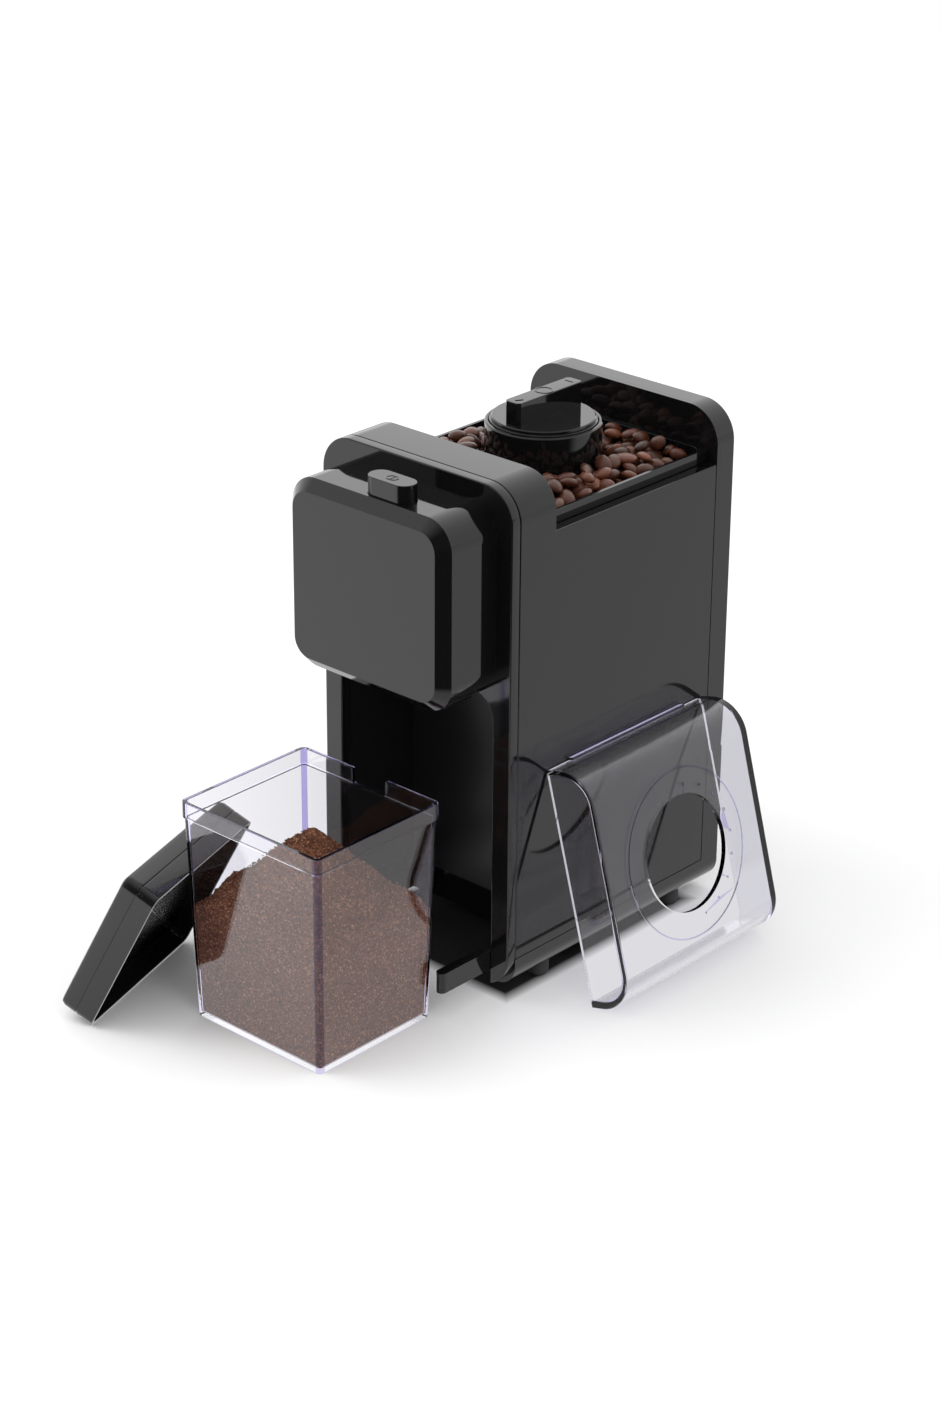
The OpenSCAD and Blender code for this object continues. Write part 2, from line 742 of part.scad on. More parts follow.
module grind_dial() {
    under = 12;
    corner = 1.6;
    color(shell_col) on_axis(0) {
        difference() {
            union() {
                translate([0, 0, ring_top - under]) cylinder(r = dial_r, h = dial_top - 0.8 - ring_top + under);
                translate([0, 0, dial_top - 0.8 - eps]) cylinder(r1 = dial_r, r2 = dial_r - 0.8, h = 0.8);
            }
            translate([0, 0, ring_top - under - 1]) cylinder(r = dial_r - 2, h = under - 1);
        }
        translate([0, 0, dial_top - 1]) linear_extrude(grip_h + 1 - 0.8) grip_outline(corner, 0);
        translate([0, 0, dial_top + grip_h - 0.8 - eps]) linear_extrude(0.8) grip_outline(corner, 0.5);
        translate([0, 0, dial_top + grip_h - eps]) {
            tube(3.4, 2.8, 0.3);
            translate([0, grip_l / 2 - 5, 0]) linear_extrude(0.3) square([4.6, 0.7], center = true);
            translate([0, -grip_l / 2 + 5, 0]) linear_extrude(0.3)
                polygon([[-2.4, 0.6], [2.4, 0.6], [0, -2.4]]);
        }
        translate([0, 0, ring_top - 6]) tube(9, 6, 4 + eps);
    }
}

module grip_outline(corner, inset) {
    w = grip_w / 2 - inset;
    l = grip_l / 2 - inset;
    polygon([[-w + corner, -l], [w - corner, -l], [w, -l + corner], [w, l - corner],
        [w - corner, l], [-w + corner, l], [-w, l - corner], [-w, -l + corner]]);
}

module dial_spindle() {
    z0 = hub_z + 3;
    z1 = ring_top - 2 - eps;
    color(steel_col) on_axis(0) {
        translate([0, 0, z0]) cylinder(r = 3, h = hopper_z0 + 14 - z0);
        translate([0, 0, hopper_z0 + 14 - eps]) cylinder(r = 6, h = z1 - hopper_z0 - 14);
    }
}

// ---------- electrics ----------

module circuit_board() {
    x = -body_w / 2 + wall + 5;
    y = bay_y1 + bay_t + 12;
    color([0.1, 0.35, 0.2]) translate([x, y, 44]) cube([1.6, 46, 70]);
    color(inner_col) for (dy = [4, 42], dz = [6, 64]) translate([x - 5, y + dy, 44 + dz])
        rotate([0, 90, 0]) cylinder(r = 2, h = 5 + eps);
    color([0.2, 0.2, 0.2]) translate([x + 1.6 - eps, y + 6, 52]) cube([8, 14, 18]);
    color(copper_col) translate([x + 1.6 - eps, y + 34, 60]) rotate([0, 90, 0]) cylinder(r = 5, h = 9);
    color(steel_col) translate([x + 1.6 - eps, y + 26, 86]) cube([5, 16, 20]);
}

module interlock_switch() {
    y0 = bay_y1 + bay_t + 5.5;
    color([0.2, 0.2, 0.2]) difference() {
        translate([plunger_x - 9, y0, plunger_z - 5]) cube([18, 6, 11]);
        for (s = [-1, 1]) translate([plunger_x + s * 5, y0 + 3, plunger_z + 2]) rotate([90, 0, 0])
            cylinder(r = 1.3, h = 8, center = true);
    }
    color(inner_col) for (s = [-1, 1]) translate([plunger_x + s * 10.5 - 1.5, bay_y1 + bay_t, plunger_z - 5])
        cube([3, 11.5, 11]);
}

module interlock_plunger() {
    color([0.7, 0.1, 0.1]) translate([plunger_x, bay_y1 - plunger_out, plunger_z]) rotate([-90, 0, 0]) {
        cylinder(r1 = plunger_r - 0.6, r2 = plunger_r, h = 0.8);
        translate([0, 0, 0.8 - eps]) cylinder(r = plunger_r, h = plunger_out + bay_t + 1.6);
        translate([0, 0, plunger_out + bay_t]) cylinder(r = plunger_r + 2, h = 1.6);
    }
}

module cable_inlet() {
    y1 = housing_d + rear_t;
    color(rubber_col) translate([36, y1, foot_h + 26]) rotate([-90, 0, 0]) {
        translate([0, 0, -wall - 2]) tube(7, 3.2, 2);
        translate([0, 0, -wall - eps]) tube(5, 3.2, wall + 2 * eps);
        tube(7, 3.2, inlet_out);
    }
}

// ---------- loose pieces ----------

module box_shape(w, d, h, taper, r) {
    hull() {
        linear_extrude(0.05) pad(w - 2 * taper, d - 2 * taper, r, $fn = 16);
        translate([0, 0, h - 0.05]) linear_extrude(0.05) pad(w, d, r, $fn = 16);
    }
}

module container() {
    step = 0.6;
    r = 3;
    notch_w = 21.6;
    slope = box_taper / box_h;
    color(clear_col) translate([0, box_y, 0]) difference() {
        union() {
            box_shape(box_w - 2 * step, box_d - 2 * step, box_h - band_h, box_taper - slope * band_h, r);
            translate([0, 0, box_h - band_h - eps]) linear_extrude(band_h + eps) pad(box_w, box_d, r + step);
        }
        translate([0, 0, box_floor])
            box_shape(box_w - 2 * (box_t + step), box_d - 2 * (box_t + step), box_h - box_floor - band_h + eps,
                box_taper - slope * (band_h + box_floor), r - 1);
        translate([0, 0, box_h - band_h]) linear_extrude(band_h + 1)
            pad(box_w - 2 * box_t, box_d - 2 * box_t, r);
        translate([-notch_w / 2, box_d / 2 - 8, box_h - band_h]) cube([notch_w, 16, band_h + 1]);
    }
}

// cap with its open face down at z = 0, its corner at the origin
module lid_cap() {
    bevel = 3;
    translate([lid_l / 2, lid_w / 2, 0]) difference() {
        union() {
            linear_extrude(lid_h - bevel) pad(lid_l, lid_w, 5);
            hull() {
                translate([0, 0, lid_h - bevel - 0.05]) linear_extrude(0.05) pad(lid_l, lid_w, 5, $fn = 24);
                translate([0, 0, lid_h - 0.05]) linear_extrude(0.05)
                    pad(lid_l - 2 * bevel, lid_w - 2 * bevel, 3, $fn = 24);
            }
        }
        translate([0, 0, -1]) linear_extrude(lid_h - lid_t - 1.2)
            pad(lid_l - 2 * lid_t, lid_w - 2 * lid_t, 3.5);
        for (s = [-1, 1]) {
            translate([0, s * (lid_w / 2 + 0.5), lid_h / 2]) cube([lid_l + 2, 1.6, 0.8], center = true);
            translate([s * (lid_l / 2 + 0.5), 0, lid_h / 2]) cube([1.6, lid_w + 2, 0.8], center = true);
        }
    }
}

module container_lid() {
    color(shell_col) translate([lid_x, lid_y, 0]) rotate([0, 0, lid_yaw]) rotate([0, -lid_tilt, 0]) lid_cap();
}

// clear hood, open face down at z = 0, centred on x, from y = 0
module hood() {
    lip_l = 84;
    hole_r = ring_r + hole_gap;
    mark_r = hole_r + 13;
    difference() {
        union() {
            slab(0, cover_l) panel(body_w, 0, cover_h, corner_r, 0);
            translate([-body_w / 2 - 1.2, (cover_l - lip_l) / 2, 0]) cube([1.6, lip_l, 2.4]);
        }
        slab(cover_t, cover_l - cover_t)
            panel(body_w - 2 * cover_t, -1, cover_h - cover_t, corner_r - cover_t, 0);
        translate([-body_w, -1, -2 * corner_r]) cube([2 * body_w, cover_l + 2, 2 * corner_r]);
        translate([0, cover_l / 2, cover_h - cover_t - 1]) cylinder(r = hole_r, h = cover_t + 2);
        translate([0, cover_l / 2, cover_h - 0.3]) tube(mark_r + 0.3, mark_r - 0.3, 1);
        for (i = [0 : 8]) translate([0, cover_l / 2, cover_h - 0.3]) rotate(90 + 20 * (i - 4))
            translate([hole_r + 4.6, 0, 0]) cylinder(r = 0.5 + 0.08 * i, h = 1, $fn = 24);
    }
}

module hopper_cover() {
    lift = body_w / 2;
    color(clear_col) translate([cover_x - lift * sin(cover_tilt), cover_y, lift * cos(cover_tilt)])
        rotate([0, 90 - cover_tilt, 0]) hood();
}

place() front_frame();
place() housing_shell();
place() rear_bulkhead();
place() rear_cover();
place() base_cover();
place() container_bay();
place() container_rails();
place() head_cover();
place() hopper();
place() grounds_chute();
place() grinding_chamber();
place() chamber_seal();
place() motor_stand();
place() motor_can();
place() motor_magnets();
place() motor_lower_cap();
place() motor_upper_cap();
place() lower_bearing();
place() upper_bearing();
place() brush_holders();
place() motor_mounts();
place() circuit_board();
place() start_switch();
place() switch_bracket();
place() button_spring();
place() interlock_switch();
place() cable_inlet();
place() rubber_feet();
place() base_screws();
place() rear_screws();
place() chamber_screws();
place() motor_shaft();
place() armature();
place() armature_winding();
place() commutator();
place() cooling_fan();
place() lower_burr_carrier();
place() lower_burr();
place() burr_nut();
place() dial_ring();
place() grind_dial();
place() dial_spindle();
place() upper_burr_carrier();
place() upper_burr();
place() burr_screws();
place() start_button();
place() interlock_plunger();
place() container();
place() container_lid();
place() hopper_cover();
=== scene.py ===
"""Burr coffee grinder: the visible shells, loose clear parts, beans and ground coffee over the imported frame.

Run as a script. Every length is in metres, in the frame's own axes: +Z up, the head faces -Y.
"""

import math
import random

import bmesh
import bpy
from bpy.props import FloatProperty, FloatVectorProperty, IntProperty, PointerProperty
from bpy.types import Operator, Panel, PropertyGroup
from mathutils import Matrix, Vector


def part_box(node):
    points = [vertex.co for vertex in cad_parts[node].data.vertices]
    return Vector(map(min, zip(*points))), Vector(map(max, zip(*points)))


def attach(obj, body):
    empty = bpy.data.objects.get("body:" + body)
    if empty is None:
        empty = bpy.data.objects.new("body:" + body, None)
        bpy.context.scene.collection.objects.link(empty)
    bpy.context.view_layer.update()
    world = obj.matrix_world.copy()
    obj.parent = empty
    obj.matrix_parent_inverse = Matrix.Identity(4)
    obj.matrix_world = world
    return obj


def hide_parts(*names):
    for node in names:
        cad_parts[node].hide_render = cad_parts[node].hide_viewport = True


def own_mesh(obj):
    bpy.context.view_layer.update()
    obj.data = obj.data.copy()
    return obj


bl_info = {
    "name": "Burr coffee grinder",
    "version": (1, 0, 0),
    "blender": (4, 5, 0),
    "location": "View3D > Sidebar > Grinder",
    "description": "Shells, clear parts, coffee and a studio round a grinder's fixed frame",
    "category": "Object",
}

MM = 0.001
TURN = 2 * math.pi

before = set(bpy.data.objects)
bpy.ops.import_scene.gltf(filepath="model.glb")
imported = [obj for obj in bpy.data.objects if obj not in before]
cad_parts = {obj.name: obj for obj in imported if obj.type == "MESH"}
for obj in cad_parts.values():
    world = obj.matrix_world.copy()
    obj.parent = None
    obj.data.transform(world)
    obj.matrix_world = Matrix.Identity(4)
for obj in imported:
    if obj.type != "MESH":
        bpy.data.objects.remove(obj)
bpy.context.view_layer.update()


def box_of(node):
    low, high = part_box(node)
    return Vector(low), Vector(high)


def middle(node):
    low, high = box_of(node)
    return (low + high) / 2


# Places that the pieces share, taken from the frame.
FRAME_LOW, FRAME_HIGH = box_of("front_frame")
HOUSING_LOW, HOUSING_HIGH = box_of("housing_shell")
BODY_MIDDLE_X = middle("front_frame").x
DIAL_AXIS = middle("dial_ring")

# Sizes that more than one piece uses.
BUTTON_FLANGE = 3 * MM  # how much longer the button's collar is than its cap
BUTTON_COLLAR = 2 * MM  # how much wider it is
SPINDLE_HOLE = 6.1 * MM
RING_REACH = 2.2 * MM  # from the dial's edge to the outside of its ring
CONTAINER_TAPER = 3 * MM
CONTAINER_STEP = 0.6 * MM  # from the rim band's face to the wall's
ENGRAVING = 0.35 * MM
HAIR = 0.01 * MM  # the radius left at a pole, so that a turned profile stays open there


# ---------------------------------------------------------------- sizes


class GrinderShellSizes(PropertyGroup):
    edge: FloatProperty(
        name="Edge rounding", description="Width of the rounding along moulded edges",
        default=0.7 * MM, min=0.1 * MM, max=1.5 * MM, unit="LENGTH")
    head_corner: FloatProperty(
        name="Head corner", description="Radius of the head's four long corners",
        default=15 * MM, min=8 * MM, max=20 * MM, unit="LENGTH")
    head_bevel: FloatProperty(
        name="Head bevel", description="Width of the flat bevel round the head's front",
        default=5.5 * MM, min=2 * MM, max=7 * MM, unit="LENGTH")
    wall: FloatProperty(
        name="Wall", description="Thickness of the moulded walls",
        default=2.4 * MM, min=1.5 * MM, max=3 * MM, unit="LENGTH")
    black: FloatVectorProperty(
        name="Black", description="Colour of the polished black moulding", subtype="COLOR",
        default=(0.0042, 0.0042, 0.0046), min=0, max=1)


class GrinderClearSizes(PropertyGroup):
    wall: FloatProperty(
        name="Wall", description="Thickness of the clear container's walls",
        default=2.0 * MM, min=1.5 * MM, max=3.5 * MM, unit="LENGTH")
    floor: FloatProperty(
        name="Floor", description="Thickness of the container's bottom",
        default=2.8 * MM, min=2 * MM, max=6 * MM, unit="LENGTH")
    band: FloatProperty(
        name="Rim band", description="Height of the thicker band round the rim",
        default=8 * MM, min=4 * MM, max=12 * MM, unit="LENGTH")
    cover_wall: FloatProperty(
        name="Cover wall", description="Thickness of the hopper cover",
        default=2.6 * MM, min=2 * MM, max=3.5 * MM, unit="LENGTH")
    tint: FloatVectorProperty(
        name="Tint", description="Colour of the clear moulding, which shows in its edges", subtype="COLOR",
        default=(0.955, 0.95, 0.995), min=0, max=1)


class GrinderCoffeeSizes(PropertyGroup):
    beans: IntProperty(
        name="Beans", description="How many beans are tried for the hopper",
        default=620, min=50, max=1200)
    bean_length: FloatProperty(
        name="Bean length", description="Length of a middling bean",
        default=10.2 * MM, min=7 * MM, max=13 * MM, unit="LENGTH")
    heap: FloatProperty(
        name="Heap", description="Height of the ground coffee in the middle of the container",
        default=100 * MM, min=20 * MM, max=105 * MM, unit="LENGTH")
    roast: FloatVectorProperty(
        name="Roast", description="Colour of a middling bean", subtype="COLOR",
        default=(0.10, 0.028, 0.012), min=0, max=1)


# ---------------------------------------------------------------- shared node groups


def socket(group, name, way, kind, default=None):
    made = group.interface.new_socket(name=name, in_out=way, socket_type=kind)
    if default is not None:
        made.default_value = default
    return made


def add_node(tree, kind, **values):
    node = tree.nodes.new(kind)
    for key, value in values.items():
        setattr(node, key, value)
    return node


def feed(tree, node, values):
    """Puts numbers and colours on a node's inputs, or links outputs to them."""
    for name, value in values.items():
        place = node.inputs[name]
        if isinstance(value, bpy.types.NodeSocket):
            tree.links.new(value, place)
        elif isinstance(value, tuple) and len(value) < len(place.default_value):
            place.default_value = (*value, 1)
        else:
            place.default_value = value
    return node


def math_node(tree, operation, first, second):
    node = add_node(tree, "ShaderNodeMath", operation=operation)
    return feed(tree, node, {0: first, 1: second}).outputs[0]


def times(tree, first, second):
    return math_node(tree, "MULTIPLY", first, second)


def plus(tree, first, second):
    return math_node(tree, "ADD", first, second)


def minus(tree, first, second):
    return math_node(tree, "SUBTRACT", first, second)


def towards(tree, place, way):
    """How far a place lies along a direction."""
    node = add_node(tree, "ShaderNodeVectorMath", operation="DOT_PRODUCT")
    return feed(tree, node, {0: place, 1: way}).outputs["Value"]


def stretched(tree, place, values):
    """A place with its axes stretched and turned."""
    return feed(tree, add_node(tree, "ShaderNodeMapping"), {"Vector": place, **values}).outputs["Vector"]


def object_place(tree):
    return add_node(tree, "ShaderNodeTexCoord").outputs["Object"]


def attribute(tree, name):
    return add_node(tree, "ShaderNodeAttribute", attribute_name=name).outputs["Fac"]


def ramp_node(tree, factor, stops):
    """A colour ramp with (place, grey or colour) stops."""
    node = add_node(tree, "ShaderNodeValToRGB")
    elements = node.color_ramp.elements
    while len(elements) < len(stops):
        elements.new(0.5)
    for element, (place, value) in zip(elements, stops):
        element.position = place
        element.color = (value, value, value, 1) if isinstance(value, float) else (*value, 1)
    return feed(tree, node, {"Fac": factor}).outputs["Color"]


def new_group(name):
    group = bpy.data.node_groups.new(name, "ShaderNodeTree")
    inside = group.nodes.new("NodeGroupInput")
    outside = group.nodes.new("NodeGroupOutput")
    return group, inside, outside, object_place(group)


def noise(tree, place, scale, detail=3.0, roughness=0.5):
    values = {"Vector": place, "Scale": scale, "Detail": detail, "Roughness": roughness}
    return feed(tree, add_node(tree, "ShaderNodeTexNoise"), values).outputs["Fac"]


def make_grain_group():
    """Fine moulded grain: a height between 0 and 1 at a given number of grains per metre."""
    group, inside, outside, place = new_group("moulded_grain")
    socket(group, "Scale", "INPUT", "NodeSocketFloat", 900.0)
    socket(group, "Height", "OUTPUT", "NodeSocketFloat")
    fine = noise(group, place, inside.outputs["Scale"], 2.0)
    broad = noise(group, place, times(group, inside.outputs["Scale"], 0.23), 2.0)
    feed(group, outside, {"Height": times(group, plus(group, fine, broad), 0.5)})
    return group


def make_handling_group():
    """Wiped and touched surface: a roughness that wanders between two values."""
    group, inside, outside, place = new_group("handling_marks")
    socket(group, "Clean", "INPUT", "NodeSocketFloat", 0.1)
    socket(group, "Touched", "INPUT", "NodeSocketFloat", 0.3)
    socket(group, "Roughness", "OUTPUT", "NodeSocketFloat")
    socket(group, "Mask", "OUTPUT", "NodeSocketFloat")
    patches = ramp_node(group, noise(group, place, 16.0, 4.0, 0.62), ((0.42, 0.0), (0.75, 1.0)))
    strokes = stretched(group, place, {"Scale": (1.0, 1.0, 14.0), "Rotation": (0.5, 0.35, 0.2)})
    wipes = ramp_node(group, noise(group, strokes, 26.0, 2.0), ((0.52, 0.0), (0.7, 1.0)))
    mask = times(group, plus(group, patches, times(group, wipes, 0.4)), 0.7)
    span = minus(group, inside.outputs["Touched"], inside.outputs["Clean"])
    rough = plus(group, inside.outputs["Clean"], times(group, span, mask))
    feed(group, outside, {"Roughness": rough, "Mask": mask})
    return group


def make_dust_group():
    """Coffee dust and lint: scattered specks with soft drifts between them, as a mask."""
    group, inside, outside, place = new_group("coffee_dust")
    socket(group, "Amount", "INPUT", "NodeSocketFloat", 0.5)
    socket(group, "Mask", "OUTPUT", "NodeSocketFloat")
    cells = feed(group, add_node(group, "ShaderNodeTexVoronoi"), {"Vector": place, "Scale": 420.0})
    specks = ramp_node(group, cells.outputs["Distance"], ((0.05, 1.0), (0.13, 0.0)))
    drift = ramp_node(group, noise(group, place, 34.0, 5.0, 0.65), ((0.5, 0.0), (0.72, 1.0)))
    mask = times(group, times(group, specks, drift), inside.outputs["Amount"])
    feed(group, outside, {"Mask": mask})
    return group


def make_wear_group():
    """Edge wear: a mask that is high close to edges, broken up by noise."""
    group, inside, outside, place = new_group("edge_wear")
    socket(group, "Strength", "INPUT", "NodeSocketFloat", 0.5)
    socket(group, "Mask", "OUTPUT", "NodeSocketFloat")
    rounded = feed(group, add_node(group, "ShaderNodeBevel", samples=4), {"Radius": 1.1 * MM})
    flat = add_node(group, "ShaderNodeNewGeometry")
    agree = towards(group, rounded.outputs["Normal"], flat.outputs["Normal"])
    edges = ramp_node(group, minus(group, 1.0, agree), ((0.02, 0.0), (0.16, 1.0)))
    broken = ramp_node(group, noise(group, place, 180.0, 4.0, 0.7), ((0.42, 0.0), (0.62, 1.0)))
    mask = times(group, times(group, edges, broken), inside.outputs["Strength"])
    feed(group, outside, {"Mask": mask})
    return group


GROUPS = {}


def use_group(tree, name, **values):
    return feed(tree, add_node(tree, "ShaderNodeGroup", node_tree=GROUPS[name]), values)


def build_groups():
    GROUPS["grain"] = make_grain_group()
    GROUPS["handling"] = make_handling_group()
    GROUPS["dust"] = make_dust_group()
    GROUPS["wear"] = make_wear_group()


# ---------------------------------------------------------------- materials


def new_material(name):
    material = bpy.data.materials.new(name)
    material.use_nodes = True
    tree = material.node_tree
    return material, tree, tree.nodes["Principled BSDF"]


def mix_colours(tree, factor, first, second, blend="MIX"):
    """Mixes two colours; a colour mix has its factor, colours and result at sockets 0, 6, 7 and 2."""
    node = add_node(tree, "ShaderNodeMix", data_type="RGBA", blend_type=blend)
    return feed(tree, node, {0: factor, 6: first, 7: second}).outputs[2]


def bump(tree, height, strength, distance):
    values = {"Height": height, "Strength": strength, "Distance": distance}
    return feed(tree, add_node(tree, "ShaderNodeBump"), values).outputs["Normal"]


def choose_shader(tree, factor, first, second, output):
    """Shows the first shader where the factor is 0 and the second where it is 1."""
    choose = feed(tree, add_node(tree, "ShaderNodeMixShader"), {0: factor, 1: first, 2: second})
    feed(tree, tree.nodes[output], {"Surface": choose.outputs[0]})


def polished_black(name, colour, clean=0.045, touched=0.085, dust=0.12):
    """Polished moulding: almost black, with wiped patches, a few specks and worn edges."""
    material, tree, shader = new_material(name)
    handling = use_group(tree, "handling", Clean=clean, Touched=touched)
    specks = use_group(tree, "dust", Amount=dust)
    wear = use_group(tree, "wear", Strength=0.22)
    dusty = mix_colours(tree, specks.outputs["Mask"], colour, (0.16, 0.12, 0.10))
    worn = mix_colours(tree, wear.outputs["Mask"], dusty, (0.06, 0.06, 0.063))
    rough = plus(tree, handling.outputs["Roughness"], times(tree, wear.outputs["Mask"], 0.25))
    waves = bump(tree, noise(tree, object_place(tree), 14.0, 1.0), 0.03, 0.4 * MM)
    feed(tree, shader, {"Base Color": worn, "Roughness": rough, "IOR": 1.52, "Normal": waves})
    return material


def grained_plastic(name, colour, roughness, scale=1400.0, strength=0.25):
    """Fine-grained moulding for linings and hidden parts."""
    material, tree, shader = new_material(name)
    grain = use_group(tree, "grain", Scale=scale)
    handling = use_group(tree, "handling", Clean=roughness, Touched=roughness + 0.18)
    specks = use_group(tree, "dust", Amount=0.4)
    shade = mix_colours(tree, grain.outputs["Height"], colour, tuple(1.6 * c for c in colour))
    dusty = mix_colours(tree, specks.outputs["Mask"], shade, (0.14, 0.07, 0.04))
    pits = bump(tree, grain.outputs["Height"], strength, 0.15 * MM)
    feed(tree, shader, {"Base Color": dusty, "Roughness": handling.outputs["Roughness"], "Normal": pits})
    return material


def metal(name, colour, roughness, scale=300.0, streak=(1.0, 1.0, 16.0), shade=0.75):
    """Turned or brushed metal, its streaks running across the stretched axis."""
    material, tree, shader = new_material(name)
    lines = noise(tree, stretched(tree, object_place(tree), {"Scale": streak}), scale, 3.0, 0.6)
    handling = use_group(tree, "handling", Clean=roughness, Touched=roughness + 0.2)
    wear = use_group(tree, "wear", Strength=0.6)
    dark = tuple(shade * c for c in colour)
    tone = mix_colours(tree, lines, dark, colour)
    bright = tuple(min(1.0, 1.35 * c) for c in colour)
    worn = mix_colours(tree, wear.outputs["Mask"], tone, bright)
    scratches = bump(tree, lines, 0.12, 0.1 * MM)
    feed(tree, shader, {"Base Color": worn, "Roughness": handling.outputs["Roughness"], "Metallic": 1.0,
                        "Normal": scratches})
    return material


def soft_rubber(name):
    """Matt black rubber with a pale film of dust."""
    material, tree, shader = new_material(name)
    grain = use_group(tree, "grain", Scale=2200.0)
    specks = use_group(tree, "dust", Amount=0.9)
    shade = mix_colours(tree, grain.outputs["Height"], (0.012, 0.012, 0.012), (0.03, 0.03, 0.03))
    dusty = mix_colours(tree, specks.outputs["Mask"], shade, (0.2, 0.19, 0.18))
    pits = bump(tree, grain.outputs["Height"], 0.4, 0.2 * MM)
    feed(tree, shader, {"Base Color": dusty, "Roughness": 0.72, "Normal": pits})
    return material


def clear_plastic(name, tint, dust=0.35):
    """Clear moulding whose tint gathers in its edges; it lets light through to what it holds."""
    material, tree, shader = new_material(name)
    specks = use_group(tree, "dust", Amount=dust)
    handling = use_group(tree, "handling", Clean=0.01, Touched=0.04)
    slope = feed(tree, add_node(tree, "ShaderNodeLayerWeight"), {"Blend": 0.25})
    grazing = ramp_node(tree, slope.outputs["Facing"], ((0.45, 0.0), (0.95, 1.0)))
    thick = math_node(tree, "MAXIMUM", attribute(tree, "thick"), grazing)
    tinted = mix_colours(tree, thick, tint, (0.48, 0.43, 0.80))
    dusty = mix_colours(tree, specks.outputs["Mask"], tinted, (0.5, 0.33, 0.25))
    feed(tree, shader, {"Base Color": dusty, "Roughness": handling.outputs["Roughness"], "IOR": 1.47,
                        "Transmission Weight": 1.0})
    path = add_node(tree, "ShaderNodeLightPath")
    through = feed(tree, add_node(tree, "ShaderNodeBsdfTransparent"), {"Color": (0.9, 0.9, 0.93)})
    soft_ray = math_node(tree, "MAXIMUM", path.outputs["Is Shadow Ray"], path.outputs["Is Diffuse Ray"])
    choose_shader(tree, soft_ray, shader.outputs[0], through.outputs[0], "Material Output")
    return material


def roasted_bean(name, roast):
    """Oily roasted beans: each bean has its own tone, with dark creases and fine wrinkles."""
    material, tree, shader = new_material(name)
    wrinkle = noise(tree, object_place(tree), 700.0, 5.0, 0.65)
    dark = tuple(0.35 * c for c in roast)
    light = (2.3 * roast[0], 2.5 * roast[1], 2.6 * roast[2])
    base = ramp_node(tree, attribute(tree, "tone"), ((0.0, dark), (0.5, roast), (1.0, light)))
    mottled = mix_colours(tree, times(tree, wrinkle, 0.55), base, dark)
    creased = mix_colours(tree, attribute(tree, "crease"), mottled, (0.17, 0.09, 0.05))
    rough = plus(tree, 0.27, times(tree, wrinkle, 0.3))
    feed(tree, shader, {"Base Color": creased, "Roughness": rough, "Coat Weight": 0.35,
                        "Coat Roughness": 0.22, "Normal": bump(tree, wrinkle, 0.5, 0.5 * MM)})
    return material


def ground_coffee(name):
    """Ground coffee: grains about a millimetre across, from nearly black to pale chaff."""
    material, tree, shader = new_material(name)
    place = object_place(tree)
    grains = feed(tree, add_node(tree, "ShaderNodeTexVoronoi"), {"Vector": place, "Scale": 1500.0})
    separate = feed(tree, add_node(tree, "ShaderNodeSeparateColor"), {0: grains.outputs["Color"]})
    stops = ((0.0, (0.08, 0.025, 0.011)), (0.5, (0.16, 0.055, 0.025)),
             (0.88, (0.26, 0.10, 0.048)), (1.0, (0.50, 0.27, 0.16)))
    colour = ramp_node(tree, separate.outputs[0], stops)
    drift = noise(tree, place, 60.0, 4.0, 0.6)
    shade = mix_colours(tree, drift, (0.4, 0.4, 0.4), (1.0, 1.0, 1.0))
    shaded = mix_colours(tree, 0.6, colour, shade, "MULTIPLY")
    height = plus(tree, grains.outputs["Distance"], noise(tree, place, 1500.0, 3.0))
    feed(tree, shader, {"Base Color": shaded, "Roughness": 0.85, "Normal": bump(tree, height, 0.9, 0.6 * MM)})
    return material


def lacquered_board(name):
    """Green lacquer over copper tracks."""
    material, tree, shader = new_material(name)
    tracks = feed(tree, add_node(tree, "ShaderNodeTexBrick"), {
        "Vector": object_place(tree), "Scale": 160.0, "Mortar Size": 0.03, "Color1": (0.01, 0.10, 0.04),
        "Color2": (0.012, 0.085, 0.035), "Mortar": (0.06, 0.24, 0.10)})
    handling = use_group(tree, "handling", Clean=0.25, Touched=0.4)
    feed(tree, shader, {"Base Color": tracks.outputs["Color"], "Roughness": handling.outputs["Roughness"]})
    return material


MATERIALS = {}


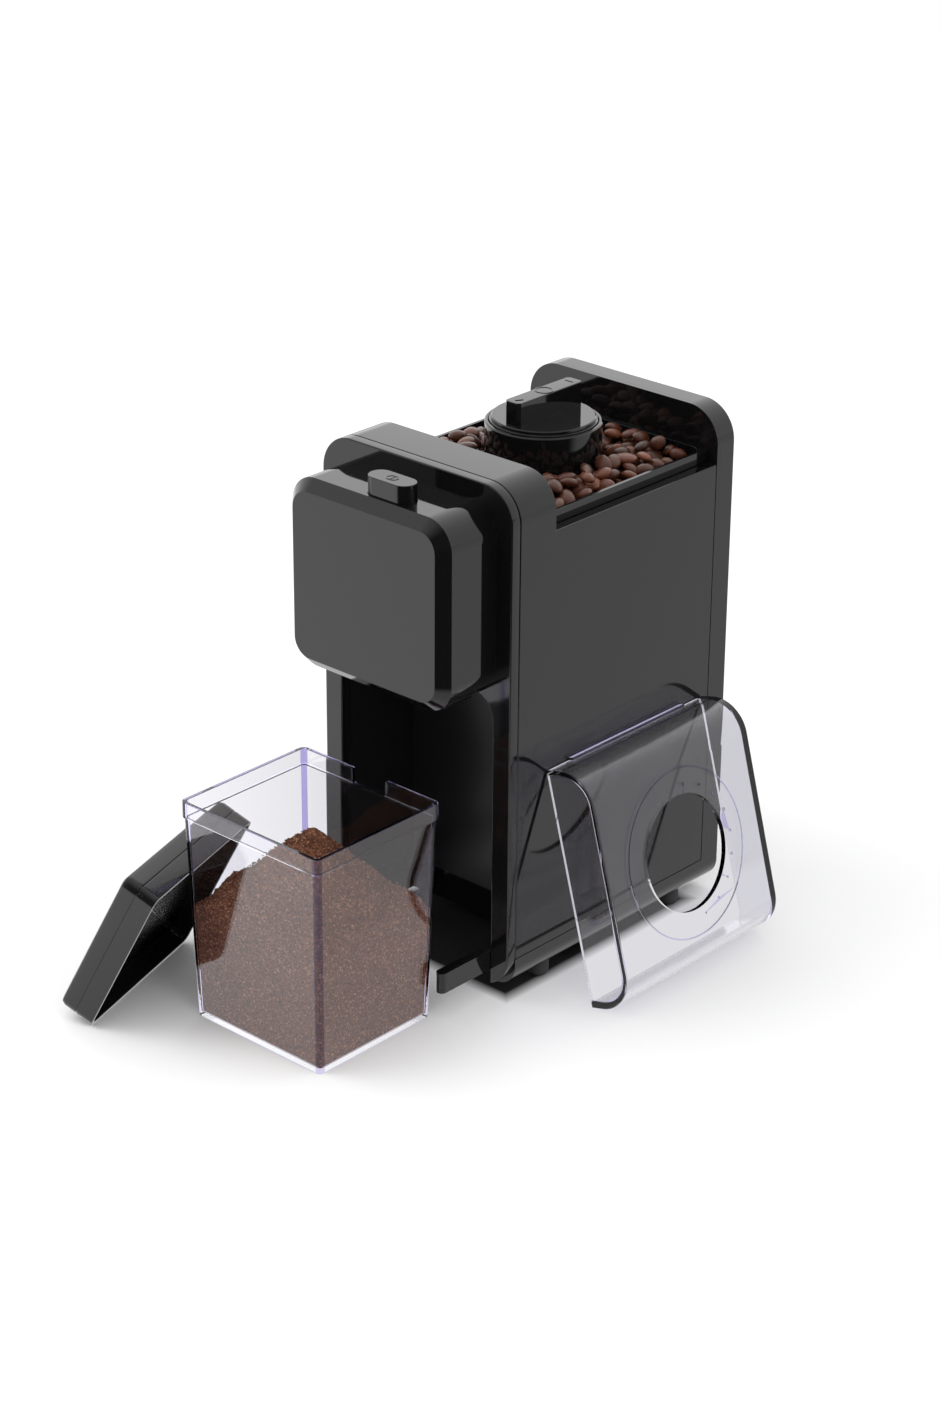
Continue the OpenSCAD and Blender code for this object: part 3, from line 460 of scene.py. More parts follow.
def build_materials(shells, clear, coffee):
    black = tuple(shells.black)
    MATERIALS["black"] = polished_black("polished_black", black)
    MATERIALS["lid_black"] = polished_black("lid_black", tuple(1.3 * c for c in black), 0.16, 0.28, 0.8)
    MATERIALS["lining"] = grained_plastic("lining_black", (0.006, 0.006, 0.0065), 0.3, 1500.0, 0.12)
    MATERIALS["inner"] = grained_plastic("inner_black", (0.018, 0.018, 0.019), 0.5)
    MATERIALS["red"] = grained_plastic("red_plastic", (0.42, 0.02, 0.02), 0.35)
    MATERIALS["steel"] = metal("ground_steel", (0.58, 0.58, 0.6), 0.22)
    MATERIALS["burr"] = metal("burr_steel", (0.42, 0.42, 0.44), 0.3, 500.0, (1.0, 1.0, 1.0))
    MATERIALS["cast"] = metal("cast_aluminium", (0.62, 0.63, 0.64), 0.42, 260.0, (1.0, 1.0, 1.0), 0.85)
    MATERIALS["iron"] = metal("iron_laminations", (0.12, 0.12, 0.13), 0.45, 240.0, (1.0, 1.0, 60.0))
    MATERIALS["copper"] = metal("bare_copper", (0.72, 0.34, 0.17), 0.28, 420.0, (1.0, 1.0, 30.0))
    MATERIALS["rubber"] = soft_rubber("foot_rubber")
    MATERIALS["clear"] = clear_plastic("clear_plastic", tuple(clear.tint))
    MATERIALS["cover"] = clear_plastic("cover_plastic", tuple(0.93 * c for c in clear.tint), 0.1)
    MATERIALS["bean"] = roasted_bean("roasted_beans", tuple(coffee.roast))
    MATERIALS["grounds"] = ground_coffee("ground_coffee")
    MATERIALS["board"] = lacquered_board("lacquered_board")


# ---------------------------------------------------------------- mesh tools


def finish_piece(name, bm, material, body, nodes=(), smooth=35.0, turn_out=True):
    """Makes a bmesh an object at the origin that rides on a body and stands for CAD nodes."""
    if turn_out:
        bmesh.ops.recalc_face_normals(bm, faces=bm.faces)
    mesh = bpy.data.meshes.new(name)
    bm.to_mesh(mesh)
    bm.free()
    mesh.shade_smooth()
    mesh.set_sharp_from_angle(angle=math.radians(smooth))
    piece = bpy.data.objects.new(name, mesh)
    bpy.context.collection.objects.link(piece)
    mesh.materials.append(MATERIALS[material])
    if smooth < 60.0:
        even = piece.modifiers.new("even_normals", "WEIGHTED_NORMAL")
        even.keep_sharp = True
    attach(piece, body)
    if nodes:
        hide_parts(*nodes)
    return piece


def block(low, high):
    """A closed box between two corners."""
    low, high = Vector(low), Vector(high)
    bm = bmesh.new()
    bmesh.ops.create_cube(bm, size=1.0)
    bmesh.ops.scale(bm, vec=high - low, verts=bm.verts)
    return move(bm, (low + high) / 2)


def along(bm, axis):
    """Edges that run along one axis, 0 for X, 1 for Y, 2 for Z."""
    found = []
    for edge in bm.edges:
        run = (edge.verts[1].co - edge.verts[0].co).normalized()
        if abs(run[axis]) > 0.999:
            found.append(edge)
    return found


def bevel(bm, edges, width, segments=6):
    bmesh.ops.bevel(bm, geom=edges, offset=width, offset_type="OFFSET", segments=segments,
                    profile=0.5, affect="EDGES", material=-1, clamp_overlap=True)


def rim(bm, axis, place):
    """Edges that lie in the plane where one axis has one value."""
    return [e for e in bm.edges if all(abs(v.co[axis] - place) < 1e-6 for v in e.verts)
            and len(e.link_faces) == 2 and abs(e.calc_face_angle(0.0)) > 0.1]


def soften(bm, width, angle=38.0, segments=2):
    """Rounds every edge sharper than an angle by a small width."""
    sharp = [e for e in bm.edges if len(e.link_faces) == 2
             and e.calc_face_angle(0.0) > math.radians(angle)]
    bevel(bm, sharp, width, segments)


def merged_copy(node):
    """The node's surface as joined, flat faces, ready for its edges to be rounded."""
    bm = bmesh.new()
    bm.from_mesh(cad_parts[node].data)
    bmesh.ops.remove_doubles(bm, verts=bm.verts, dist=2e-6)
    bmesh.ops.dissolve_limit(bm, angle_limit=math.radians(0.6), use_dissolve_boundaries=False,
                             verts=bm.verts, edges=bm.edges)
    return bm


def boolean(bm, tools, operation="DIFFERENCE"):
    """Cuts closed tools out of a closed shape, or joins them to it."""
    mesh = bpy.data.meshes.new("work")
    bm.to_mesh(mesh)
    bm.free()
    work = bpy.data.objects.new("work", mesh)
    bpy.context.collection.objects.link(work)
    helpers = [work]
    for tool in tools:
        tool_mesh = bpy.data.meshes.new("tool")
        tool.to_mesh(tool_mesh)
        tool.free()
        helper = bpy.data.objects.new("tool", tool_mesh)
        bpy.context.collection.objects.link(helper)
        helpers.append(helper)
        cut = work.modifiers.new("cut", "BOOLEAN")
        cut.operation = operation
        cut.solver = "EXACT"
        cut.object = helper
    seen = work.evaluated_get(bpy.context.evaluated_depsgraph_get())
    done = bmesh.new()
    done.from_mesh(seen.to_mesh())
    for helper in helpers:
        bpy.data.meshes.remove(helper.data)
    bmesh.ops.remove_doubles(done, verts=done.verts, dist=1e-6)
    return done


def move(bm, by):
    bmesh.ops.translate(bm, vec=by, verts=bm.verts)
    return bm


def spun(profile, centre, steps=96):
    """A closed profile of (radius, z) points, turned about a vertical axis."""
    bm = bmesh.new()
    verts = [bm.verts.new((radius, 0, z)) for radius, z in profile]
    edges = [bm.edges.new((verts[i], verts[(i + 1) % len(verts)])) for i in range(len(verts))]
    bmesh.ops.spin(bm, geom=verts + edges, cent=(0, 0, 0), axis=(0, 0, 1), angle=TURN,
                   steps=steps, use_merge=True, use_duplicate=False)
    bmesh.ops.remove_doubles(bm, verts=bm.verts, dist=1e-7)
    bmesh.ops.recalc_face_normals(bm, faces=bm.faces)
    return move(bm, centre)


def tube(outer, inner, low_z, high_z, centre, steps=96):
    """A plain turned ring, or a solid disc where the inner radius is next to nothing."""
    return spun(((outer, low_z), (outer, high_z), (inner, high_z), (inner, low_z)), centre, steps)


def add_to(bm, other):
    """Puts another bmesh's islands beside those of this one."""
    mesh = bpy.data.meshes.new("part")
    other.to_mesh(mesh)
    other.free()
    bm.from_mesh(mesh)
    bpy.data.meshes.remove(mesh)
    return bm


def pill(length, width, low_z, high_z, centre, edge=0.0):
    """A block with half-round ends, its long side along X."""
    bm = block((-length / 2, -width / 2, low_z), (length / 2, width / 2, high_z))
    bevel(bm, along(bm, 2), width / 2 * 0.998, 12)
    move(bm, (centre[0], centre[1], 0))
    if edge:
        bevel(bm, rim(bm, 2, high_z), edge, 3)
    return bm


def smooth_panel(width, low_z, high_z, low_y, high_y, top=0.0, bottom=0.0):
    """A block whose long edges along Y are rounded, apart at the top and at the bottom."""
    bm = block((-width / 2, low_y, low_z), (width / 2, high_y, high_z))
    for radius, wanted in ((top, high_z), (bottom, low_z)):
        if radius > 0:
            edges = [e for e in along(bm, 1) if abs(e.verts[0].co.z - wanted) < 1e-6]
            bevel(bm, edges, radius, 14)
    return bm


# ---------------------------------------------------------------- shells


# Each CAD node's visible piece, and its share of the edge rounding.
CASING_PIECES = {
    "front_frame": ("front_frame_shell", 1.0),
    "housing_shell": ("housing_shell_shell", 1.0),
    "rear_cover": ("rear_cover_shell", 1.0),
    "base_cover": ("base_cover_shell", 1.0),
    "rear_bulkhead": ("bulkhead_plate", 0.5),
    "container_rails": ("bay_rails", 1.0),
    "hopper": ("hopper_tub", 0.8),
}


class GRINDER_OT_casing(Operator):
    """Build the polished casing: frame, housing, rear cover, bottom cover, bulkhead plate, bay rails and
    hopper tub
    """
    bl_idname = "grinder.casing"
    bl_label = "Casing"

    def execute(self, context):
        edge = context.scene.grinder_shells.edge
        for node, (name, share) in CASING_PIECES.items():
            bm = merged_copy(node)
            soften(bm, edge * share)
            finish_piece(name, bm, "black", "housing", [node], turn_out=False)
        return {"FINISHED"}


class GRINDER_OT_head(Operator):
    """Build the head over the bay, with its slot for the button"""
    bl_idname = "grinder.head"
    bl_label = "Head"

    def execute(self, context):
        sizes = context.scene.grinder_shells
        low, high = box_of("head_cover")
        width = high.x - low.x
        outer = smooth_panel(width, low.z, high.z, low.y, high.y, sizes.head_corner, sizes.head_corner)
        bevel(outer, rim(outer, 1, low.y), sizes.head_bevel, 1)
        wall = sizes.wall
        hollow = smooth_panel(width - 2 * wall, low.z + wall, high.z - wall, low.y + wall, high.y + wall,
                              sizes.head_corner - wall, sizes.head_corner - wall)
        bevel(hollow, rim(hollow, 1, low.y + wall), sizes.head_bevel * 0.75, 1)
        for bm in (outer, hollow):
            move(bm, (BODY_MIDDLE_X, 0, 0))
        cap_low, cap_high = box_of("start_button")
        cap, gap = cap_high - cap_low, 0.6 * MM
        slot = pill(cap.x - BUTTON_FLANGE + gap, cap.y - BUTTON_COLLAR + gap,
                    high.z - 2 * wall, high.z + wall, middle("start_button"))
        bm = boolean(outer, [hollow, slot])
        soften(bm, 0.45 * MM, 30.0)
        finish_piece("head_shell", bm, "black", "housing", ["head_cover"])
        return {"FINISHED"}


class GRINDER_OT_button(Operator):
    """Build the start button with its raised mark"""
    bl_idname = "grinder.button"
    bl_label = "Start button"

    def execute(self, context):
        low, high = box_of("start_button")
        centre = (low + high) / 2
        mark = 0.25 * MM
        flange = BUTTON_FLANGE
        length = high.x - low.x - flange
        width = high.y - low.y - BUTTON_COLLAR
        top = high.z - mark
        head_top = box_of("head_cover")[1].z
        wall = context.scene.grinder_shells.wall
        skirt = head_top - wall - 0.1 * MM
        bm = pill(length, width, skirt, top, centre, 1.1 * MM)
        collar = pill(length + flange, width + BUTTON_COLLAR, skirt - 1.2 * MM, skirt, centre)
        room = block((low.x - flange, low.y - width, skirt - flange),
                     (high.x + flange, centre.y - 4 * MM, high.z))
        add_to(bm, boolean(collar, [room]))
        add_to(bm, tube(2.5 * MM, HAIR, low.z, skirt, Vector((centre.x, centre.y, 0))))
        tile = pill(6.4 * MM, 5.2 * MM, top - mark, top + mark * 0.9, centre)
        well = pill(5.4 * MM, 4.2 * MM, top - 2 * mark, top + 2 * mark, centre)
        add_to(bm, boolean(tile, [well]))
        bar = block((centre.x - 0.35 * MM, centre.y - 1.4 * MM, top - mark),
                    (centre.x + 0.35 * MM, centre.y + 1.4 * MM, top + mark * 0.8))
        add_to(bm, bar)
        finish_piece("button_cap", bm, "black", "button", ["start_button"])
        self.build_spring(cap_travel=2.5 * MM)
        return {"FINISHED"}

    def build_spring(self, cap_travel):
        """The return spring: a merged copy of the CAD spring, riding on the housing."""
        coil = finish_piece("spring_coil", merged_copy("button_spring"), "steel", "housing",
                            ["button_spring"], 180.0, False)
        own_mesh(coil)


class GRINDER_OT_dial(Operator):
    """Build the ring in the hopper and the dial with its grip"""
    bl_idname = "grinder.dial"
    bl_label = "Dial and ring"

    def execute(self, context):
        self.build_ring()
        self.build_dial()
        return {"FINISHED"}

    def build_ring(self):
        low, high = box_of("dial_ring")
        dial_low, dial_high = box_of("grind_dial")
        wall = 1.9 * MM
        radius = (dial_high.x - dial_low.x) / 2 + 0.3 * MM + wall
        seat = (high.x - low.x) / 2
        centre = Vector((DIAL_AXIS.x, DIAL_AXIS.y, 0))
        leg_top = low.z + 18 * MM
        lip = 0.6 * MM
        inside = radius - wall
        upper = ((radius, leg_top), (radius, high.z - lip), (radius - lip, high.z),
                 (inside + 0.3 * MM, high.z), (inside, high.z - 0.3 * MM), (inside, leg_top))
        bm = spun(upper, centre, 128)
        foot = low.z + 2 * MM
        foot_ring = ((inside, low.z), (seat - 2.5 * MM, low.z), (seat - 2.5 * MM, foot), (seat, foot),
                     (seat, foot + 2.4 * MM), (inside, foot + 2.4 * MM))
        add_to(bm, spun(foot_ring, centre))
        add_to(bm, tube(inside - HAIR, SPINDLE_HOLE - 0.05 * MM, leg_top + 2 * MM, leg_top + 5 * MM, centre))
        for third in range(3):
            leg = block((inside, -4 * MM, foot + 2 * MM), (radius - 0.1 * MM, 4 * MM, leg_top + 0.5 * MM))
            bevel(leg, along(leg, 2), 0.5 * MM, 2)
            turn = Matrix.Rotation(math.radians(30 + 120 * third), 4, "Z")
            bmesh.ops.transform(leg, matrix=Matrix.Translation(centre) @ turn, verts=leg.verts)
            add_to(bm, leg)
        finish_piece("ring_shell", bm, "black", "dial_mount", ["dial_ring"])

    def build_dial(self):
        low, high = box_of("grind_dial")
        radius = (high.x - low.x) / 2
        centre = Vector((DIAL_AXIS.x, DIAL_AXIS.y, 0))
        mark = 0.3 * MM
        grip_top = high.z - mark
        disc_top = grip_top - 12 * MM
        step = 1.0 * MM
        disc = ((radius, low.z), (radius, disc_top - 2.0 * MM), (radius - 0.3 * MM, disc_top - 1.7 * MM),
                (radius - step, disc_top - 1.7 * MM), (radius - step, disc_top - 0.5 * MM),
                (radius - step - 0.5 * MM, disc_top), (HAIR, disc_top), (HAIR, disc_top - 3 * MM),
                (radius - 2 * MM, disc_top - 3 * MM), (radius - 2 * MM, low.z))
        bm = spun(disc, centre, 128)
        half = 23.3 * MM
        grip = block((-4.8 * MM, -half, disc_top - 1 * MM), (4.8 * MM, half, grip_top))
        bevel(grip, along(grip, 2), 1.6 * MM, 1)
        bevel(grip, rim(grip, 2, grip_top), 0.55 * MM, 2)
        add_to(bm, move(grip, centre))
        mark_top = grip_top + 0.8 * mark
        add_to(bm, tube(4.5 * MM, 3.9 * MM, grip_top - 1 * MM, mark_top, centre, 48))
        add_to(bm, self.pointer(centre, grip_top, half, mark))
        bar = block((-2.3 * MM, half - 5.4 * MM, grip_top - mark), (2.3 * MM, half - 4.7 * MM, mark_top))
        add_to(bm, move(bar, centre))
        add_to(bm, tube(9 * MM, SPINDLE_HOLE, disc_top - 8.4 * MM, disc_top - 3 * MM, centre, 48))
        finish_piece("dial_shell", bm, "black", "dial", ["grind_dial"])

    def pointer(self, centre, top, half, mark):
        """A raised triangle near the front end of the grip."""
        bm = bmesh.new()
        bmesh.ops.create_circle(bm, cap_ends=True, segments=3, radius=2.4 * MM)
        bmesh.ops.rotate(bm, cent=(0, 0, 0), matrix=Matrix.Rotation(math.pi, 3, "Z"), verts=bm.verts)
        raised = bmesh.ops.extrude_face_region(bm, geom=bm.faces[:])["geom"]
        upper = [v for v in raised if isinstance(v, bmesh.types.BMVert)]
        bmesh.ops.translate(bm, vec=(0, 0, 2 * mark), verts=upper)
        return move(bm, centre + Vector((0, 5 * MM - half, top - mark)))


class GRINDER_OT_feet(Operator):
    """Build the rubber feet"""
    bl_idname = "grinder.feet"
    bl_label = "Feet"

    def execute(self, context):
        low, high = box_of("rubber_feet")
        radius = 5.5 * MM
        profile = ((HAIR, low.z), (radius - 2.4 * MM, low.z), (radius - 1.2 * MM, low.z + 0.4 * MM),
                   (radius - 0.3 * MM, low.z + 1.4 * MM), (radius, low.z + 2.6 * MM), (radius, high.z),
                   (HAIR, high.z))
        bm = bmesh.new()
        for x in (low.x + radius, high.x - radius):
            for y in (low.y + radius, high.y - radius):
                add_to(bm, spun(profile, Vector((x, y, 0)), 40))
        finish_piece("feet", bm, "rubber", "housing", ["rubber_feet"], 50.0)
        return {"FINISHED"}


# ---------------------------------------------------------------- clear parts and lid


def mark_thick(bm, rim_width, strip_width):
    """Marks rims and the narrow strips along edges, where clear plastic looks thick."""
    thick = bm.faces.layers.float.new("thick")
    for face in bm.faces:
        width = 2 * face.calc_area() / max(face.calc_perimeter(), 1e-9)
        square_on = max(abs(part) for part in face.normal) > 0.999
        face[thick] = 1.0 if width < strip_width or (square_on and width < rim_width) else 0.0


class GRINDER_OT_container(Operator):
    """Build the clear container with its rim band and notch"""
    bl_idname = "grinder.container"
    bl_label = "Container"

    def tapered(self, low, high, inset, floor, top, corner):
        """A closed block that narrows towards the bottom, its upright edges rounded."""
        height = high.z - low.z
        bm = block((low.x + inset, low.y + inset, floor), (high.x - inset, high.y - inset, top))
        middle_x, middle_y = (low.x + high.x) / 2, (low.y + high.y) / 2
        for vert in bm.verts:
            draw_in = CONTAINER_TAPER * (1 - (vert.co.z - low.z) / height)
            vert.co.x -= math.copysign(draw_in, vert.co.x - middle_x)
            vert.co.y -= math.copysign(draw_in, vert.co.y - middle_y)
        upright = [e for e in bm.edges if abs(e.verts[0].co.z - e.verts[1].co.z) > height / 3]
        bevel(bm, upright, corner, 6)
        return bm

    def execute(self, context):
        sizes = context.scene.grinder_clear
        low, high = box_of("container")
        step, wall = CONTAINER_STEP, sizes.wall
        band_low = high.z - sizes.band
        bm = self.tapered(low, high, step, low.z, band_low + 0.5 * MM, 3 * MM)
        bevel(bm, rim(bm, 2, low.z), 1.2 * MM, 3)
        band = block((low.x, low.y, band_low), high)
        bevel(band, along(band, 2), 3.5 * MM, 6)
        bm = boolean(bm, [band], "UNION")
        hollow = self.tapered(low, high, step + wall, low.z + sizes.floor, band_low + 2 * MM, 2 * MM)
        bevel(hollow, rim(hollow, 2, low.z + sizes.floor), 1.0 * MM, 3)
        mouth = block((low.x + wall, low.y + wall, band_low), (high.x - wall, high.y - wall, high.z + 2 * MM))
        bevel(mouth, along(mouth, 2), 2.2 * MM, 5)
        centre, half_notch = (low.x + high.x) / 2, 10.8 * MM
        notch = block((centre - half_notch, high.y - 6 * MM, band_low + 0.2 * MM),
                      (centre + half_notch, high.y + 4 * MM, high.z + 3 * MM))
        bevel(notch, [e for e in along(notch, 1) if e.verts[0].co.z < high.z], 1.2 * MM, 3)
        bm = boolean(bm, [hollow, mouth, notch])
        soften(bm, 0.35 * MM, 50.0)
        mark_thick(bm, 3 * MM, 0.95 * MM)
        finish_piece("clear_container", bm, "clear", "container", ["container"], 30.0)
        return {"FINISHED"}


class GRINDER_OT_lid(Operator):
    """Build the container's black lid, leaning on the container"""
    bl_idname = "grinder.lid"
    bl_label = "Container lid"

    def execute(self, context):
        box_low, box_high = box_of("container")
        wall, play = 1.8 * MM, 0.4 * MM
        width = box_high.x - box_low.x + 2 * (wall + play)
        length = box_high.y - box_low.y + 2 * (wall + play)
        tilt, yaw, depth = math.radians(63), math.radians(17.8), 19 * MM
        low, high = box_of("container_lid")
        # the corner on the table nearest the front, from the piece's own box
        corner = Vector((low.x + width * math.sin(yaw) + depth * math.sin(tilt) * math.cos(yaw),
                         low.y + depth * math.sin(tilt) * math.sin(yaw), low.z))
        place = Matrix.Translation(corner) @ Matrix.Rotation(yaw, 4, "Z") @ Matrix.Rotation(-tilt, 4, "Y")
        bevel_width = 3 * MM
        bm = block((0, 0, 0), (length, width, depth))
        bevel(bm, along(bm, 2), 5 * MM, 8)
        bevel(bm, rim(bm, 2, depth), bevel_width, 2)
        ceiling = depth - wall - 1.2 * MM
        hollow = block((wall, wall, -1 * MM), (length - wall, width - wall, ceiling))
        bevel(hollow, along(hollow, 2), 3.4 * MM, 8)
        bevel(hollow, rim(hollow, 2, ceiling), 1.5 * MM, 3)
        seam, past, cut, half_line = depth / 2, 1 * MM, 0.35 * MM, 0.4 * MM
        groove = block((-past, -past, seam - half_line), (length + past, width + past, seam + half_line))
        core = block((cut, cut, seam - past), (length - cut, width - cut, seam + past))
        bevel(core, along(core, 2), 4.7 * MM, 8)
        bm = boolean(bm, [hollow, boolean(groove, [core])])
        soften(bm, 0.25 * MM, 50.0)
        bmesh.ops.transform(bm, matrix=place, verts=bm.verts)
        finish_piece("lid_shell", bm, "lid_black", "lid", ["container_lid"])
        return {"FINISHED"}


def ring_radius():
    """The outer radius of the ring round the dial."""
    low, high = box_of("grind_dial")
    return (high.x - low.x) / 2 + RING_REACH


class GRINDER_OT_cover(Operator):
    """Build the clear hopper cover, leaning on the right side wall"""
    bl_idname = "grinder.cover"
    bl_label = "Hopper cover"

    def execute(self, context):
        sizes = context.scene.grinder_clear
        low, high = box_of("hopper_cover")
        length = high.y - low.y
        width = HOUSING_HIGH.x - HOUSING_LOW.x
        depth, corner, wall = 25 * MM, 18 * MM, sizes.cover_wall
        tilt = math.radians(15.3)
        bm = smooth_panel(width, 0, depth, 0, length, corner)
        hollow = smooth_panel(width - 2 * wall, -5 * MM, depth - wall, wall, length - wall, corner - wall)
        bevel(hollow, rim(hollow, 1, wall), 0.8 * MM, 2)
        hole_radius = ring_radius() + 0.7 * MM
        centre = Vector((0, length / 2, 0))
        hole = tube(hole_radius, HAIR, depth - 3 * wall, depth + wall, centre, 128)
        half_lip = 42 * MM
        lip = block((-width / 2 - 1.2 * MM, length / 2 - half_lip, 0),
                    (-width / 2 + 1 * MM, length / 2 + half_lip, 2.4 * MM))
        bm = boolean(bm, [lip], "UNION")
        tools = [hollow, hole, self.engraved_ring(centre, depth, hole_radius + 13 * MM)]
        for step in range(9):
            tools.append(self.engraved_dot(centre, depth, hole_radius + 4.6 * MM, step))
        bm = boolean(bm, tools)
        soften(bm, 0.5 * MM, 55.0, 3)
        lean = width / 2
        foot_x = HOUSING_HIGH.x + 0.5 * MM + width * math.sin(tilt)
        place = (Matrix.Translation((foot_x - lean * math.sin(tilt), low.y, lean * math.cos(tilt)))
                 @ Matrix.Rotation(math.pi / 2 - tilt, 4, "Y"))
        mark_thick(bm, 2.9 * MM, 0.8 * MM)
        bmesh.ops.transform(bm, matrix=place, verts=bm.verts)
        finish_piece("clear_cover", bm, "cover", "cover", ["hopper_cover"], 30.0)
        return {"FINISHED"}

    def engraved_ring(self, centre, top, radius):
        """A shallow round groove in the panel."""
        line = ENGRAVING
        return tube(radius + line, radius - line, top - ENGRAVING, top + ENGRAVING, centre, 128)

    def engraved_dot(self, centre, top, radius, step):
        """One of a row of dots that grow from fine to coarse."""
        size = (0.5 + 0.08 * step) * MM
        turn = math.radians(90 + 20 * (step - 4))
        place = centre + Vector((radius * math.cos(turn), radius * math.sin(turn), 0))
        return tube(size, HAIR, top - ENGRAVING, top + ENGRAVING, place, 20)


# ---------------------------------------------------------------- coffee


def bean_shape(length, width, height):
    """One bean: a long round back, a flatter belly and a crease along it, in a few dozen faces."""
    bm = bmesh.new()
    bmesh.ops.create_uvsphere(bm, u_segments=10, v_segments=7, radius=0.5)
    bmesh.ops.rotate(bm, cent=(0, 0, 0), matrix=Matrix.Rotation(math.pi / 2, 3, "Y"), verts=bm.verts)
    crease = bm.verts.layers.float.new("crease")
    for vert in bm.verts:
        belly = vert.co.z < 0
        across = abs(vert.co.y)
        if belly:
            vert.co.z *= 0.62
        if belly and across < 0.12 and abs(vert.co.x) < 0.46:
            vert.co.z *= 0.45
            vert[crease] = 0.75
        vert.co.x *= length
        vert.co.y *= width
        vert.co.z *= height
    return bm


class GRINDER_OT_beans(Operator):
    """Fill the hopper with roasted beans round the ring"""
    bl_idname = "grinder.beans"
    bl_label = "Beans"

    def execute(self, context):
        sizes = context.scene.grinder_coffee
        chance = random.Random(7)
        low, high = box_of("hopper")
        ring = ring_radius()
        wall = 1.8 * MM
        room = sizes.bean_length * 0.5
        placed = []
        levels = (high.z - 14 * MM, high.z - 8.6 * MM, high.z - 3.6 * MM, high.z + 0.6 * MM)
        for level in levels:
            for _ in range(sizes.beans * 5):
                spot = Vector((chance.uniform(low.x + wall + room, high.x - wall - room),
                               chance.uniform(low.y + wall + room, high.y - wall - room),
                               level + chance.uniform(-1.3, 1.3) * MM))
                reach = math.hypot(spot.x - DIAL_AXIS.x, spot.y - DIAL_AXIS.y)
                if reach < ring + 0.42 * sizes.bean_length:
                    continue
                edge = min(spot.x - low.x, high.x - spot.x, spot.y - low.y, high.y - spot.y)
                if level > high.z - 2 * MM and edge < 11 * MM:
                    continue
                if all((spot - other).length > 0.62 * sizes.bean_length for other in placed):
                    placed.append(spot)
        bm = bmesh.new()
        for layer in ("tone", "crease"):
            bm.verts.layers.float.new(layer)
        for spot in placed:
            stretch = chance.uniform(0.86, 1.12)
            bean = bean_shape(sizes.bean_length * stretch, sizes.bean_length * 0.72 * stretch,
                              sizes.bean_length * 0.56 * chance.uniform(0.9, 1.1))
            roll = chance.choice((0, 0, math.pi)) + chance.gauss(0, 0.5)
            turn = (Matrix.Rotation(chance.uniform(0, TURN), 4, "Z")
                    @ Matrix.Rotation(chance.gauss(0, 0.33), 4, "Y") @ Matrix.Rotation(roll, 4, "X"))
            bmesh.ops.transform(bean, matrix=Matrix.Translation(spot) @ turn, verts=bean.verts)
            known = len(bm.verts)
            add_to(bm, bean)
            bm.verts.ensure_lookup_table()
            tone = bm.verts.layers.float["tone"]
            shade = min(1.0, max(0.0, chance.gauss(0.45, 0.2)))
            for index in range(known, len(bm.verts)):
                bm.verts[index][tone] = shade
        finish_piece("beans", bm, "bean", "housing", smooth=180.0)
        return {"FINISHED"}


